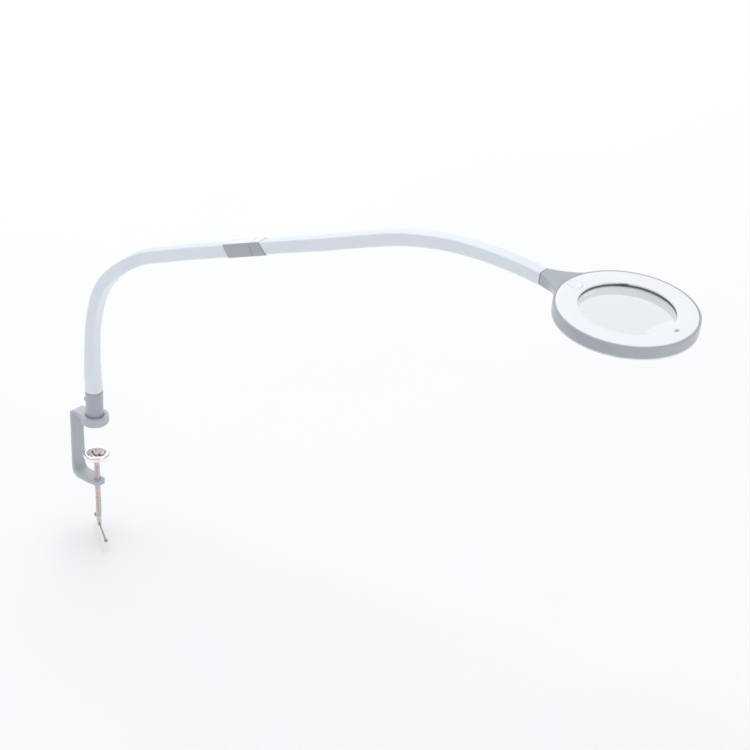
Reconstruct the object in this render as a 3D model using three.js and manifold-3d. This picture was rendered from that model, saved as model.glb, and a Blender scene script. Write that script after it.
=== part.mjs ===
// Clamp-on reading lamp with a ring magnifier head: screw clamp, flexible two-part arm, lit ring.
// Millimetres. +X is the arm's reach, +Z is up, and the origin is the middle of the upper jaw's face.
import * as THREE from 'three';
import { mergeVertices } from 'three/addons/utils/BufferGeometryUtils.js';
import Module from 'manifold-3d';

const wasm = await Module();
wasm.setup();

// ---- driving dimensions -------------------------------------------------------------------------
const GAP = 0.3;                       // running and seating gap between neighbours
const RING_SIDES = 48;

// Clamp. It stands turned under the arm, which swivels in its collar.
const CLAMP_TURN = THREE.MathUtils.degToRad(-8);
const COLLAR_RADIUS = 20.3;
const COLLAR_TOP = 14.5;
const COLLAR_BOTTOM = 1.3;
const COLLAR_FLOOR = 4.5;
const COLLAR_BORE = 14;
const JAW_PAD_RADIUS = 15;
const STRAP_BACK = -44.3;
const STRAP_WIDTH = 22;
const STRAP_THICKNESS = 5;
const STRAP_TOP = 10;
const STRAP_TOP_BEND = 8;
const STRAP_BOTTOM_BEND = 17;
const LOWER_JAW_TOP = -93;
const LOWER_JAW_THICKNESS = 8;
const LOWER_JAW_NOSE = 9;

// Clamp screw, its dished pad and its tommy bar.
const SCREW_RADIUS = 4;
const SCREW_BOTTOM = -173;
const SCREW_EYE_TOP = -165.5;          // below this the shaft is drawn in to an eye for the tommy bar
const SCREW_EYE_RADIUS = 3.2;
const DISH_RIM_TOP = -49.2;
const DISH_RADIUS = 19.5;
const DISH_FLOOR_TOP = -59.2;
const DISH_BOTTOM = -62.7;
const TOMMY_HEIGHT = -169;
const TOMMY_TURN = THREE.MathUtils.degToRad(-30);
const TOMMY_RADIUS = 1.3;
const TOMMY_NEAR_END = 51;
const TOMMY_FAR_END = -25;

// Arm centre line in the XZ plane, from inside the ferrule to the head's neck.
const ARM_POINTS = [
  [0, 44], [-0.6, 109], [7, 180], [30, 239], [92, 296.3], [157, 325.7], [224, 351.8], [290, 376.5],
  [365, 404.9], [431, 429.1], [502, 456.5], [561, 477.4], [628, 492.1], [682, 496.9], [740, 496],
  [786, 491.3],
];
const FERRULE_TOP = 54;
const FERRULE_BOTTOM = 6.4;
const FERRULE_RADIUS = 13.3;
const SLEEVE_WIDTH = 18.8;
const SLEEVE_CORNER = 2.2;
const SLEEVE_LOW_CORNER = 4.4;         // softer corners on the upright stretch
const SLEEVE_SOFT_TO = 110;            // distances over which the corners sharpen
const SLEEVE_CRISP_FROM = 240;
const SLEEVE_FOOT_RADIUS = 13;         // round foot on the ferrule
const SLEEVE_FOOT_LENGTH = 90;
const SLEEVE_BORE = 6.3;
const CORE_RADIUS = 5.4;
const ARM_STEP = 16;
const COUPLING_WIDTH = 20.4;
const COUPLING_START = 468.5;           // distances along the arm's centre line
const COUPLING_SEAM = 516.5;
const COUPLING_END = 537.5;
const SEAM_GAP = 0.5;
const START_SLANT = 0.22;              // how far the coupling's ends slant for each mm of height
const END_SLANT = 0.36;
const END_GAP = 0.7;
const LOWER_JOINTS = [125, 240, 355];
const UPPER_JOINTS = [634, 729, 824, 919];
const SLEEVE_JOINT_GAP = 2.3;          // half the opening that lets a sleeve bend at a joint
const BALL_RADIUS = 3.8;

// Ring head. Its top face is at height 0 of the head's own frame and its neck points along -X.
const HEAD_CENTRE = [914, 4.3, 485.5];
const HEAD_YAW = THREE.MathUtils.degToRad(1.8);
const HEAD_PITCH = THREE.MathUtils.degToRad(6.85);
const HEAD_ROLL = THREE.MathUtils.degToRad(-2);
const HOUSING_RADIUS = 95.4;
const COVER_RADIUS = 92.5;
const HOLE_RADIUS = 63.8;
const HOUSING_BOTTOM = -16.4;
const WEB_TOP = -8;
const NECK_LENGTH = 31.8;
const NECK_MID = -9.3;
const BUTTON_AT = -80;
const BUTTON_RADIUS = 9.4;
const INDICATOR_AT = 74.5;
const CATCH_ANGLE = THREE.MathUtils.degToRad(127);
const LED_COUNT = 36;
const COVER_SCREW_ANGLES = [60, 145, 300].map(THREE.MathUtils.degToRad);

// ---- solids -------------------------------------------------------------------------------------
// A closed, outward-facing mesh with shared vertices.
function closed(geometry) {
  geometry.deleteAttribute('normal');
  geometry.deleteAttribute('uv');
  const merged = mergeVertices(geometry, 1e-4);
  const position = merged.attributes.position;
  const index = merged.index.array;
  const [a, b, c] = [new THREE.Vector3(), new THREE.Vector3(), new THREE.Vector3()];
  const kept = [];
  let volume = 0;
  for (let i = 0; i < index.length; i += 3) {
    const [ia, ib, ic] = [index[i], index[i + 1], index[i + 2]];
    if (ia === ib || ib === ic || ic === ia) continue;
    a.fromBufferAttribute(position, ia);
    b.fromBufferAttribute(position, ib);
    c.fromBufferAttribute(position, ic);
    volume += a.dot(b.cross(c));
    kept.push(ia, ib, ic);
  }
  if (volume < 0) kept.reverse();
  merged.setIndex(kept);
  return merged;
}

function toSolid(geometry) {
  const mesh = closed(geometry);
  return new wasm.Manifold(new wasm.Mesh({
    numProp: 3,
    vertProperties: new Float32Array(mesh.attributes.position.array),
    triVerts: new Uint32Array(mesh.index.array),
  }));
}

function toGeometry(solid) {
  const mesh = solid.getMesh();
  const geometry = new THREE.BufferGeometry();
  geometry.setAttribute('position', new THREE.BufferAttribute(mesh.vertProperties, 3));
  geometry.setIndex(new THREE.BufferAttribute(mesh.triVerts, 1));
  return geometry;
}

// The first geometry with others joined to it and others cut out of it.
function shaped(base, { join = [], cut = [] }) {
  let solid = toSolid(base);
  for (const piece of join) solid = solid.add(toSolid(piece));
  for (const piece of cut) solid = solid.subtract(toSolid(piece));
  return toGeometry(solid);
}

// A solid of revolution about Z from [radius, height] pairs.
function turned(profile, segments = 24) {
  const points = profile.map(([radius, height]) => new THREE.Vector2(radius, height));
  const onAxis = points[0].x === 0 && points.at(-1).x === 0;
  if (!onAxis) points.push(points[0].clone());
  return new THREE.LatheGeometry(points, segments).rotateX(Math.PI / 2);
}

function disc(radius, bottom, top, segments = 24) {
  return turned([[0, bottom], [radius, bottom], [radius, top], [0, top]], segments);
}

function band(inner, outer, bottom, top, segments = 24) {
  return turned([[inner, bottom], [outer, bottom], [outer, top], [inner, top]], segments);
}

// A round bar along a horizontal direction, from one distance to another.
function bar(radius, from, to, turn, height, segments = 12) {
  return disc(radius, from, to, segments)
    .rotateY(Math.PI / 2)
    .rotateZ(turn)
    .translate(0, 0, height);
}

// A plan outline given thickness between two heights.
function slab(shape, bottom, top, curveSegments = 10) {
  return new THREE.ExtrudeGeometry(shape, { depth: top - bottom, bevelEnabled: false, curveSegments })
    .translate(0, 0, bottom);
}

// The points of a square with rounded corners, the same number whatever its size.
function roundedSquare(width, corner, cornerSteps = 3) {
  const flat = width / 2 - corner;
  const points = [];
  for (const [side, up, start] of [[1, 1, 0], [-1, 1, 1], [-1, -1, 2], [1, -1, 3]]) {
    for (let i = 0; i <= cornerSteps; i += 1) {
      const angle = (start + i / cornerSteps) * (Math.PI / 2);
      points.push(new THREE.Vector2(
        side * flat + corner * Math.cos(angle), up * flat + corner * Math.sin(angle)));
    }
  }
  return points;
}

function roundOutline(radius, sides) {
  const points = Array.from({ length: sides }, (_, i) => {
    const angle = (i / sides) * Math.PI * 2;
    return new THREE.Vector2(radius * Math.cos(angle), radius * Math.sin(angle));
  });
  return new THREE.Shape(points);
}

const root = new THREE.Group();
const clamp = new THREE.Group();
clamp.rotation.z = CLAMP_TURN;
const head = new THREE.Group();
head.position.set(...HEAD_CENTRE);
head.rotation.set(HEAD_ROLL, HEAD_PITCH, HEAD_YAW, 'ZYX');
root.add(clamp, head);

const LOOKS = {
  grey: { color: 0xa3aab1, roughness: 0.42, metalness: 0.1 },
  white: { color: 0xf3f5fa, roughness: 0.3, metalness: 0 },
  silicone: { color: 0xe9edf3, roughness: 0.55, metalness: 0 },
  steel: { color: 0xc9bdb8, roughness: 0.25, metalness: 1 },
  chrome: { color: 0xe6e0de, roughness: 0.08, metalness: 1 },
  rubber: { color: 0x3c3f43, roughness: 0.8, metalness: 0 },
  nylon: { color: 0x8b9096, roughness: 0.6, metalness: 0 },
  diffuser: { color: 0xf7f8fa, roughness: 0.6, metalness: 0 },
  board: { color: 0xdfe6df, roughness: 0.5, metalness: 0 },
  lens: { color: 0xe8f2f6, roughness: 0.03, metalness: 0 },
};

function add(group, name, look, geometry) {
  const mesh = new THREE.Mesh(closed(geometry), new THREE.MeshStandardMaterial(LOOKS[look]));
  mesh.name = name;
  group.add(mesh);
}

// ---- clamp --------------------------------------------------------------------------------------
// The side view of the C-shaped strap, from the collar round to the lower jaw.
function strapOutline() {
  const jawBottom = LOWER_JAW_TOP - LOWER_JAW_THICKNESS;
  const topInner = STRAP_TOP - STRAP_THICKNESS;
  const backInner = STRAP_BACK + STRAP_THICKNESS;
  const topInnerBend = STRAP_TOP_BEND - STRAP_THICKNESS;
  const bottomInnerBend = STRAP_BOTTOM_BEND - LOWER_JAW_THICKNESS;
  const shape = new THREE.Shape();
  shape.moveTo(-10, STRAP_TOP);
  shape.absarc(STRAP_BACK + STRAP_TOP_BEND, STRAP_TOP - STRAP_TOP_BEND, STRAP_TOP_BEND,
    Math.PI / 2, Math.PI);
  shape.absarc(STRAP_BACK + STRAP_BOTTOM_BEND, jawBottom + STRAP_BOTTOM_BEND, STRAP_BOTTOM_BEND,
    Math.PI, Math.PI * 1.5);
  shape.lineTo(-18, jawBottom);
  shape.lineTo(-18, LOWER_JAW_TOP);
  shape.absarc(backInner + bottomInnerBend, LOWER_JAW_TOP + bottomInnerBend, bottomInnerBend,
    Math.PI * 1.5, Math.PI, true);
  shape.absarc(backInner + topInnerBend, topInner - topInnerBend, topInnerBend,
    Math.PI, Math.PI / 2, true);
  shape.lineTo(-10, topInner);
  return shape;
}

// The lower jaw narrows from the strap's width to a round nose about the screw.
function lowerJawOutline() {
  const shape = new THREE.Shape();
  shape.moveTo(-19, -STRAP_WIDTH / 2);
  shape.lineTo(-14, -STRAP_WIDTH / 2);
  shape.lineTo(-2, -LOWER_JAW_NOSE);
  shape.absarc(0, 0, LOWER_JAW_NOSE, -Math.PI / 2, Math.PI / 2);
  shape.lineTo(-14, STRAP_WIDTH / 2);
  shape.lineTo(-19, STRAP_WIDTH / 2);
  return shape;
}

function clampBracket() {
  const strap = new THREE.ExtrudeGeometry(strapOutline(), {
    depth: STRAP_WIDTH, bevelEnabled: false, curveSegments: 6,
  }).rotateX(Math.PI / 2).translate(0, STRAP_WIDTH / 2, 0);
  const collar = turned([
    [0, COLLAR_BOTTOM], [COLLAR_RADIUS - 2.4, COLLAR_BOTTOM], [COLLAR_RADIUS - 0.7, COLLAR_BOTTOM + 0.7],
    [COLLAR_RADIUS, COLLAR_BOTTOM + 2.4], [COLLAR_RADIUS, COLLAR_TOP - 1],
    [COLLAR_RADIUS - 1, COLLAR_TOP], [0, COLLAR_TOP],
  ], 32);
  const jaw = slab(lowerJawOutline(), LOWER_JAW_TOP - LOWER_JAW_THICKNESS, LOWER_JAW_TOP);
  return shaped(strap, {
    join: [collar, jaw],
    cut: [
      disc(COLLAR_BORE, COLLAR_FLOOR, COLLAR_TOP + 1, 32),
      disc(SCREW_RADIUS + GAP, SCREW_BOTTOM, DISH_BOTTOM, 16),
    ],
  });
}

add(clamp, 'clamp_bracket', 'grey', clampBracket());
add(clamp, 'upper_jaw_pad', 'rubber', disc(JAW_PAD_RADIUS, 0, COLLAR_BOTTOM - GAP));
add(clamp, 'swivel_bush', 'nylon',
  band(FERRULE_RADIUS - 0.7 + GAP, COLLAR_BORE - GAP, COLLAR_FLOOR + GAP, COLLAR_TOP - 0.3));
add(clamp, 'thrust_washer', 'nylon',
  band(5, FERRULE_RADIUS - 1, COLLAR_FLOOR + GAP, FERRULE_BOTTOM - GAP));

function clampScrew() {
  const neck = 2.8;
  const shaft = turned([
    [0, SCREW_BOTTOM], [SCREW_EYE_RADIUS - 0.8, SCREW_BOTTOM], [SCREW_EYE_RADIUS, SCREW_BOTTOM + 0.8],
    [SCREW_EYE_RADIUS, SCREW_EYE_TOP - 0.8], [SCREW_RADIUS, SCREW_EYE_TOP],
    [SCREW_RADIUS, DISH_BOTTOM - GAP], [neck, DISH_BOTTOM - GAP], [neck, DISH_FLOOR_TOP + GAP],
    [neck + 1.8, DISH_FLOOR_TOP + GAP], [neck + 1.4, DISH_FLOOR_TOP + 1.7],
    [0, DISH_FLOOR_TOP + 2.1],
  ], 16);
  const crossHole = bar(TOMMY_RADIUS + GAP, -10, 10, TOMMY_TURN, TOMMY_HEIGHT);
  return shaped(shaft, { cut: [crossHole] });
}

// The pad's broad rim rolls over into a shallow bowl about the riveted end of the screw.
function dishedPad() {
  return turned([
    [3.1, DISH_BOTTOM], [8, DISH_BOTTOM], [DISH_RADIUS - 3.5, DISH_RIM_TOP - 7.6],
    [DISH_RADIUS - 1, DISH_RIM_TOP - 6], [DISH_RADIUS, DISH_RIM_TOP - 3.8],
    [DISH_RADIUS - 0.5, DISH_RIM_TOP - 1], [DISH_RADIUS - 1.8, DISH_RIM_TOP],
    [DISH_RADIUS - 4.5, DISH_RIM_TOP], [DISH_RADIUS - 5.8, DISH_RIM_TOP - 1.2],
    [6.5, DISH_FLOOR_TOP], [3.1, DISH_FLOOR_TOP],
  ], 40);
}

// A barrel-shaped knob with a blind hole for the end of the tommy bar.
function tommyKnob(end) {
  const outward = Math.sign(end);
  const knob = turned([
    [0, 3.6], [1.8, 3.2], [2.6, 1.4], [2.6, -1.6], [1.9, -3], [1.6, -3], [1.6, 1], [0, 1],
  ], 12);
  return knob.rotateY(outward * Math.PI / 2).translate(end, 0, 0).rotateZ(TOMMY_TURN)
    .translate(0, 0, TOMMY_HEIGHT);
}

add(clamp, 'clamp_screw', 'steel', clampScrew());
add(clamp, 'dished_pad', 'chrome', dishedPad());
add(clamp, 'tommy_bar', 'steel',
  bar(TOMMY_RADIUS, TOMMY_FAR_END - 0.7, TOMMY_NEAR_END + 0.7, TOMMY_TURN, TOMMY_HEIGHT));
add(clamp, 'tommy_knob_near', 'steel', tommyKnob(TOMMY_NEAR_END));
add(clamp, 'tommy_knob_far', 'steel', tommyKnob(TOMMY_FAR_END));

// ---- arm ----------------------------------------------------------------------------------------
const armLine = new THREE.CatmullRomCurve3(
  ARM_POINTS.map(([x, z]) => new THREE.Vector3(x, 0, z)), false, 'centripetal');
armLine.arcLengthDivisions = 2000;
const ARM_LENGTH = armLine.getLength();

// The part of the arm's centre line between two distances along it.
class ArmStretch extends THREE.Curve {
  constructor(from, to) {
    super();
    this.from = from;
    this.to = to;
  }

  getPoint(t, target = new THREE.Vector3()) {
    return armLine.getPointAt((this.from + (this.to - this.from) * t) / ARM_LENGTH, target);
  }
}

function swept(shape, from, to) {
  const steps = Math.max(1, Math.round((to - from) / ARM_STEP));
  return new THREE.ExtrudeGeometry(shape, {
    extrudePath: new ArmStretch(from, to), steps, bevelEnabled: false,
  });
}

// Moves a solid built about Z so that its axis follows the arm at a distance along it.
function placedOnArm(geometry, distance) {
  const tangent = armLine.getTangentAt(distance / ARM_LENGTH);
  const pitch = Math.atan2(tangent.x, tangent.z);
  const point = armLine.getPointAt(distance / ARM_LENGTH);
  return geometry.rotateY(pitch).translate(point.x, point.y, point.z);
}

// A point of the arm's cross-section at a distance along it. A slanted section's underside, where
// the point's x is positive, lies further along than its top.
function onArm(point, distance, slant) {
  const tangent = armLine.getTangentAt(distance / ARM_LENGTH);
  return armLine.getPointAt(distance / ARM_LENGTH)
    .add(new THREE.Vector3(tangent.z * point.x, point.y, -tangent.x * point.x))
    .addScaledVector(tangent, slant * point.x);
}

// The sleeve is a square with soft corners that turns round where it stands on the ferrule.
function sleeveOutline(distance) {
  const { smoothstep, lerp } = THREE.MathUtils;
  const start = FERRULE_TOP - ARM_POINTS[0][1];
  const foot = 1 - smoothstep(distance, start, start + SLEEVE_FOOT_LENGTH);
  const crisp = smoothstep(distance, SLEEVE_SOFT_TO, SLEEVE_CRISP_FROM);
  const half = lerp(SLEEVE_WIDTH / 2, SLEEVE_FOOT_RADIUS, foot);
  const corner = lerp(lerp(SLEEVE_LOW_CORNER, SLEEVE_CORNER, crisp), SLEEVE_FOOT_RADIUS, foot);
  return roundedSquare(half * 2, corner);
}

// The surface through closed rings of points; reversed, it faces the other way.
function skin(rings, firstPoint, reversed) {
  const sides = rings[0].length;
  const index = [];
  for (let row = 0; row < rings.length - 1; row += 1) {
    for (let side = 0; side < sides; side += 1) {
      const a = firstPoint + row * sides + side;
      const b = firstPoint + row * sides + ((side + 1) % sides);
      if (reversed) index.push(b, a, a + sides, b, a + sides, b + sides);
      else index.push(a, b, b + sides, a, b + sides, a + sides);
    }
  }
  return index;
}

// The rings of a stretch of the arm's section, slanted as asked at its two ends.
function armRings(from, to, outline, slantFrom, slantTo) {
  const steps = Math.max(1, Math.round((to - from) / ARM_STEP));
  return Array.from({ length: steps + 1 }, (_, step) => {
    const share = step / steps;
    const distance = THREE.MathUtils.lerp(from, to, share);
    const slant = THREE.MathUtils.lerp(slantFrom, slantTo, share);
    return outline(distance).map((point) => onArm(point, distance, slant));
  });
}

function meshOf(points, index) {
  const geometry = new THREE.BufferGeometry().setFromPoints(points);
  geometry.setIndex(index);
  return geometry;
}

// A sleeve: a tube about a round bore.
function sleeve(from, to, slantFrom = 0, slantTo = 0) {
  const bore = roundedSquare(SLEEVE_BORE * 2, SLEEVE_BORE);
  const outer = armRings(from, to, sleeveOutline, slantFrom, slantTo);
  const inner = armRings(from, to, () => bore, slantFrom, slantTo);
  const sides = bore.length;
  const innerStart = outer.length * sides;
  const lastRow = (outer.length - 1) * sides;
  const index = [...skin(outer, 0, false), ...skin(inner, innerStart, true)];
  for (let side = 0; side < sides; side += 1) {
    const next = (side + 1) % sides;
    const [a, b] = [lastRow + side, lastRow + next];
    index.push(innerStart + side, innerStart + next, next, innerStart + side, next, side);
    index.push(a, b, innerStart + b, a, innerStart + b, innerStart + a);
  }
  return meshOf([...outer, ...inner].flat(), index);
}

// A solid block of the coupling's square section.
function couplingBlock(from, to, slantFrom, slantTo) {
  const square = roundedSquare(COUPLING_WIDTH, SLEEVE_CORNER);
  const rings = armRings(from, to, () => square, slantFrom, slantTo);
  const sides = square.length;
  const lastRow = (rings.length - 1) * sides;
  const index = skin(rings, 0, false);
  for (let side = 1; side < sides - 1; side += 1) {
    index.push(0, side + 1, side);
    index.push(lastRow, lastRow + side, lastRow + side + 1);
  }
  return meshOf(rings.flat(), index);
}

// One link of the flexible core: a socket where it takes the link before, a ball where it ends.
function coreLink(from, to, hasSocket, hasBall) {
  const mouth = 1.5;
  const shoulder = 4.2;
  const start = hasSocket ? from - mouth : from;
  const end = hasBall ? to - shoulder : to;
  const join = [];
  const cut = [];
  if (hasBall) {
    join.push(placedOnArm(disc(2.2, -shoulder - 0.5, 0, 10), to));
    join.push(placedOnArm(new THREE.SphereGeometry(BALL_RADIUS, 10, 6), to));
  }
  if (hasSocket) cut.push(placedOnArm(new THREE.SphereGeometry(BALL_RADIUS + GAP, 10, 6), from));
  return shaped(swept(roundOutline(CORE_RADIUS, 12), start, end), { join, cut });
}

// A flexible stretch of arm: sleeves and core links that meet at the bending joints.
function flexible(prefix, joints, { sleeveFrom, sleeveTo, slants, coreFrom, coreTo }) {
  const sleeveStops = [sleeveFrom, ...joints, sleeveTo];
  const coreStops = [coreFrom, ...joints, coreTo];
  for (let i = 0; i <= joints.length; i += 1) {
    const first = i === 0;
    const last = i === joints.length;
    const from = sleeveStops[i] + (first ? 0 : SLEEVE_JOINT_GAP);
    const to = sleeveStops[i + 1] - (last ? 0 : SLEEVE_JOINT_GAP);
    add(root, `${prefix}_sleeve_${i + 1}`, 'silicone',
      sleeve(from, to, first ? slants[0] : 0, last ? slants[1] : 0));
    add(root, `${prefix}_core_${i + 1}`, 'steel',
      coreLink(coreStops[i], coreStops[i + 1], !first, !last));
  }
}

const CORE_SEAT = 9;
const CORE_CLEARANCE = CORE_RADIUS + GAP;
const INLET_HEIGHT = 35;
const INLET_RADIUS = 3.6;
const GRUB_HEIGHT = 49;

function ferrule() {
  const barrel = turned([
    [4.5, FERRULE_BOTTOM], [FERRULE_RADIUS - 0.7, FERRULE_BOTTOM],
    [FERRULE_RADIUS - 0.7, COLLAR_TOP], [FERRULE_RADIUS, FERRULE_TOP - 0.8],
    [FERRULE_RADIUS - 0.8, FERRULE_TOP], [CORE_CLEARANCE, FERRULE_TOP],
    [CORE_CLEARANCE, FERRULE_TOP - 10.5], [4.5, FERRULE_TOP - 10.5],
  ], 32);
  return shaped(barrel, {
    cut: [
      bar(INLET_RADIUS + GAP, 7, 20, Math.PI, INLET_HEIGHT),
      bar(1.6, 2, 12, Math.PI, INLET_HEIGHT, 8),
      bar(2.3, 4, 16, Math.PI / 2, GRUB_HEIGHT),
    ],
  });
}

// A low-voltage barrel inlet: a collar about a socket with a centre pin.
function inlet() {
  const body = turned([
    [0, 7.3], [INLET_RADIUS, 7.3], [INLET_RADIUS, 17], [INLET_RADIUS - 0.5, 17.5], [2.5, 17.5],
    [2.5, 9.5], [0.7, 9.5], [0.7, 16], [0, 16.5],
  ], 16);
  return body.rotateY(-Math.PI / 2).translate(0, 0, INLET_HEIGHT);
}

// A set screw with a socket in its outer end.
function setScrew(radius, inner, outer) {
  return turned([
    [0, inner], [radius * 0.7, inner], [radius, inner + 0.5], [radius, outer],
    [radius * 0.5, outer], [radius * 0.5, outer - 1.5], [0, outer - 1.5],
  ], 12);
}

add(root, 'arm_ferrule', 'grey', ferrule());
add(root, 'dc_inlet', 'rubber', inlet());
add(root, 'ferrule_set_screw', 'steel',
  setScrew(2, CORE_RADIUS + 0.4, FERRULE_RADIUS - 0.6).rotateX(-Math.PI / 2)
    .translate(0, 0, GRUB_HEIGHT));

flexible('lower', LOWER_JOINTS, {
  sleeveFrom: FERRULE_TOP - ARM_POINTS[0][1] + GAP,
  sleeveTo: COUPLING_START - GAP,
  slants: [0, START_SLANT],
  coreFrom: GAP,
  coreTo: COUPLING_START + CORE_SEAT,
});

const SPIGOT_RADIUS = 6;
const SPIGOT_LENGTH = 8;
const COUPLING_SCREW_AT = 4.6;          // past the seam, on the underside
const CAP_SEAT = 7.9;                   // height of the shallow bed that a white top strip lies in
const CAP_WIDTH = 16.4;

// A plate along the top of the arm, between two heights above its centre line.
function topPlate(from, to, width, bottom, top) {
  return placedOnArm(
    new THREE.BoxGeometry(top - bottom, width, to - from).translate(-(top + bottom) / 2, 0, 0),
    (from + to) / 2);
}

function capBed(from, to) {
  return topPlate(from, to, CAP_WIDTH + GAP * 2, CAP_SEAT, COUPLING_WIDTH);
}

// A white strip with chamfered edges along its top.
function couplingCap(from, to) {
  const half = CAP_WIDTH / 2;
  const chamfer = 0.5;
  const [bottom, top] = [CAP_SEAT + GAP, COUPLING_WIDTH / 2 + 0.1];
  const outline = new THREE.Shape([
    [-bottom, -half], [-bottom, half], [-top + chamfer, half], [-top, half - chamfer],
    [-top, chamfer - half], [-top + chamfer, -half],
  ].map(([x, y]) => new THREE.Vector2(x, y)));
  const length = to - from;
  return placedOnArm(slab(outline, -length / 2, length / 2), (from + to) / 2);
}

function couplingLower() {
  const body = couplingBlock(COUPLING_START, COUPLING_SEAM, START_SLANT, 0);
  const spigot = turned([
    [0, -4], [SPIGOT_RADIUS, -4], [SPIGOT_RADIUS, 3], [SPIGOT_RADIUS - 1.2, 3.6],
    [SPIGOT_RADIUS - 1.2, 5.6], [SPIGOT_RADIUS, 6.2], [SPIGOT_RADIUS, SPIGOT_LENGTH],
    [0, SPIGOT_LENGTH],
  ], 20);
  const coreSeat = disc(CORE_CLEARANCE, -4, CORE_SEAT + GAP, 20);
  return shaped(body, {
    join: [placedOnArm(spigot, COUPLING_SEAM)],
    cut: [placedOnArm(coreSeat, COUPLING_START), capBed(COUPLING_START - 6, COUPLING_SEAM + 2)],
  });
}

function couplingUpper() {
  const body = couplingBlock(COUPLING_SEAM + SEAM_GAP, COUPLING_END, 0, END_SLANT);
  const spigotBore = disc(SPIGOT_RADIUS + GAP, -1, SPIGOT_LENGTH + GAP, 20);
  const coreSeat = disc(CORE_CLEARANCE, -6.5, 5, 20);
  const screwHole = disc(1.8, 4, 12, 10).rotateY(Math.PI / 2).translate(0, 0, COUPLING_SCREW_AT);
  return shaped(body, {
    cut: [
      placedOnArm(spigotBore, COUPLING_SEAM),
      placedOnArm(coreSeat, COUPLING_END),
      placedOnArm(screwHole, COUPLING_SEAM),
      capBed(COUPLING_SEAM - 2, COUPLING_END + 2),
    ],
  });
}

add(root, 'coupling_lower', 'grey', couplingLower());
add(root, 'coupling_upper', 'grey', couplingUpper());
const CAP_MIDDLE = (CAP_SEAT + COUPLING_WIDTH / 2) / 2;
add(root, 'coupling_cap_1', 'white',
  couplingCap(COUPLING_START - CAP_MIDDLE * START_SLANT + GAP * 2, COUPLING_SEAM - GAP));
add(root, 'coupling_cap_2', 'white',
  couplingCap(COUPLING_SEAM + SEAM_GAP + GAP, COUPLING_END - CAP_MIDDLE * END_SLANT - GAP));
add(root, 'coupling_set_screw', 'steel', placedOnArm(
  setScrew(1.5, SPIGOT_RADIUS - 0.8, COUPLING_WIDTH / 2 - 0.4).rotateY(Math.PI / 2)
    .translate(0, 0, COUPLING_SCREW_AT),
  COUPLING_SEAM));

flexible('upper', UPPER_JOINTS, {
  sleeveFrom: COUPLING_END + END_GAP,
  sleeveTo: ARM_LENGTH - 0.6,
  slants: [END_SLANT, 0],
  coreFrom: COUPLING_END - 6,
  coreTo: ARM_LENGTH - 0.3,
});

// ---- head ---------------------------------------------------------------------------------------
const WEB_BOTTOM = WEB_TOP - 1.6;
const WALL_INNER = COVER_RADIUS + GAP;
const NECK_END = -HOUSING_RADIUS - NECK_LENGTH;
const NECK_BOTTOM = -18.4;
const NECK_LEAN = 0.32;                 // share of its half width that the underside draws in
const NECK_LEAN_LENGTH = 22;
const SCREW_CIRCLE = 80;

function onRing(geometry, radius, angle) {
  return geometry.translate(radius, 0, 0).rotateZ(angle);
}

// The neck's plan: the sleeve's width at the arm, flaring in hollow curves into the ring.
function neckOutline() {
  const half = SLEEVE_WIDTH / 2 + GAP;
  const [flareX, flareY] = [-HOUSING_RADIUS + 6, 35];
  const [bendX, bendY] = [NECK_END + 24, 19.5];
  const shape = new THREE.Shape();
  shape.moveTo(NECK_END, -half);
  shape.quadraticCurveTo(bendX, -bendY, flareX, -flareY);
  shape.lineTo(flareX + 6, -flareY + 8);
  shape.lineTo(flareX + 6, flareY - 8);
  shape.lineTo(flareX, flareY);
  shape.quadraticCurveTo(bendX, bendY, NECK_END, half);
  return shape;
}

// Draws the underside of the neck in, so that its sides lean outward as they flare.
function leanIn(geometry) {
  const position = geometry.attributes.position;
  for (let i = 0; i < position.count; i += 1) {
    const along = THREE.MathUtils.clamp((position.getX(i) - NECK_END) / NECK_LEAN_LENGTH, 0, 1);
    if (position.getZ(i) < NECK_MID) position.setY(i, position.getY(i) * (1 - NECK_LEAN * along));
  }
  return geometry;
}

function housing() {
  const ring = turned([
    [WALL_INNER, -0.2], [HOUSING_RADIUS - 0.9, -0.2], [HOUSING_RADIUS, -1.1],
    [HOUSING_RADIUS, -14], [HOUSING_RADIUS - 0.6, HOUSING_BOTTOM], [WALL_INNER, HOUSING_BOTTOM],
    [WALL_INNER, WEB_BOTTOM], [66.8, WEB_BOTTOM], [66.8, WEB_TOP], [WALL_INNER, WEB_TOP],
  ], RING_SIDES);
  const neck = shaped(leanIn(slab(neckOutline(), NECK_BOTTOM, -0.3, 8)), {
    cut: [
      disc(WALL_INNER + 0.4, NECK_BOTTOM - 1, 1, RING_SIDES),
      disc(HOUSING_RADIUS - 0.4, NECK_BOTTOM - 1, HOUSING_BOTTOM, RING_SIDES),
    ],
  });
  const screwHoles = COVER_SCREW_ANGLES.map(
    (angle) => onRing(disc(1.9, WEB_BOTTOM - 1, WEB_TOP + 1, 10), SCREW_CIRCLE, angle));
  return shaped(ring, {
    join: [neck],
    cut: [
      bar(CORE_CLEARANCE + 0.6, -NECK_END - 14, -NECK_END + 2, Math.PI, NECK_MID, 20),
      disc(2.3, NECK_BOTTOM - 1, NECK_MID, 12).translate(NECK_END + 7, 0, 0),
      ...screwHoles,
    ],
  });
}

function stadium(length, width) {
  const half = (length - width) / 2;
  const shape = new THREE.Shape();
  shape.absarc(0, half, width / 2, 0, Math.PI);
  shape.absarc(0, -half, width / 2, Math.PI, Math.PI * 2);
  return shape;
}

function catchTab(grow, bottom, top) {
  const tab = new THREE.BoxGeometry(2.6 + grow, 16 + grow * 2, top - bottom);
  return onRing(tab.translate(0, 0, (top + bottom) / 2), HOLE_RADIUS + 1.6, CATCH_ANGLE);
}

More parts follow.
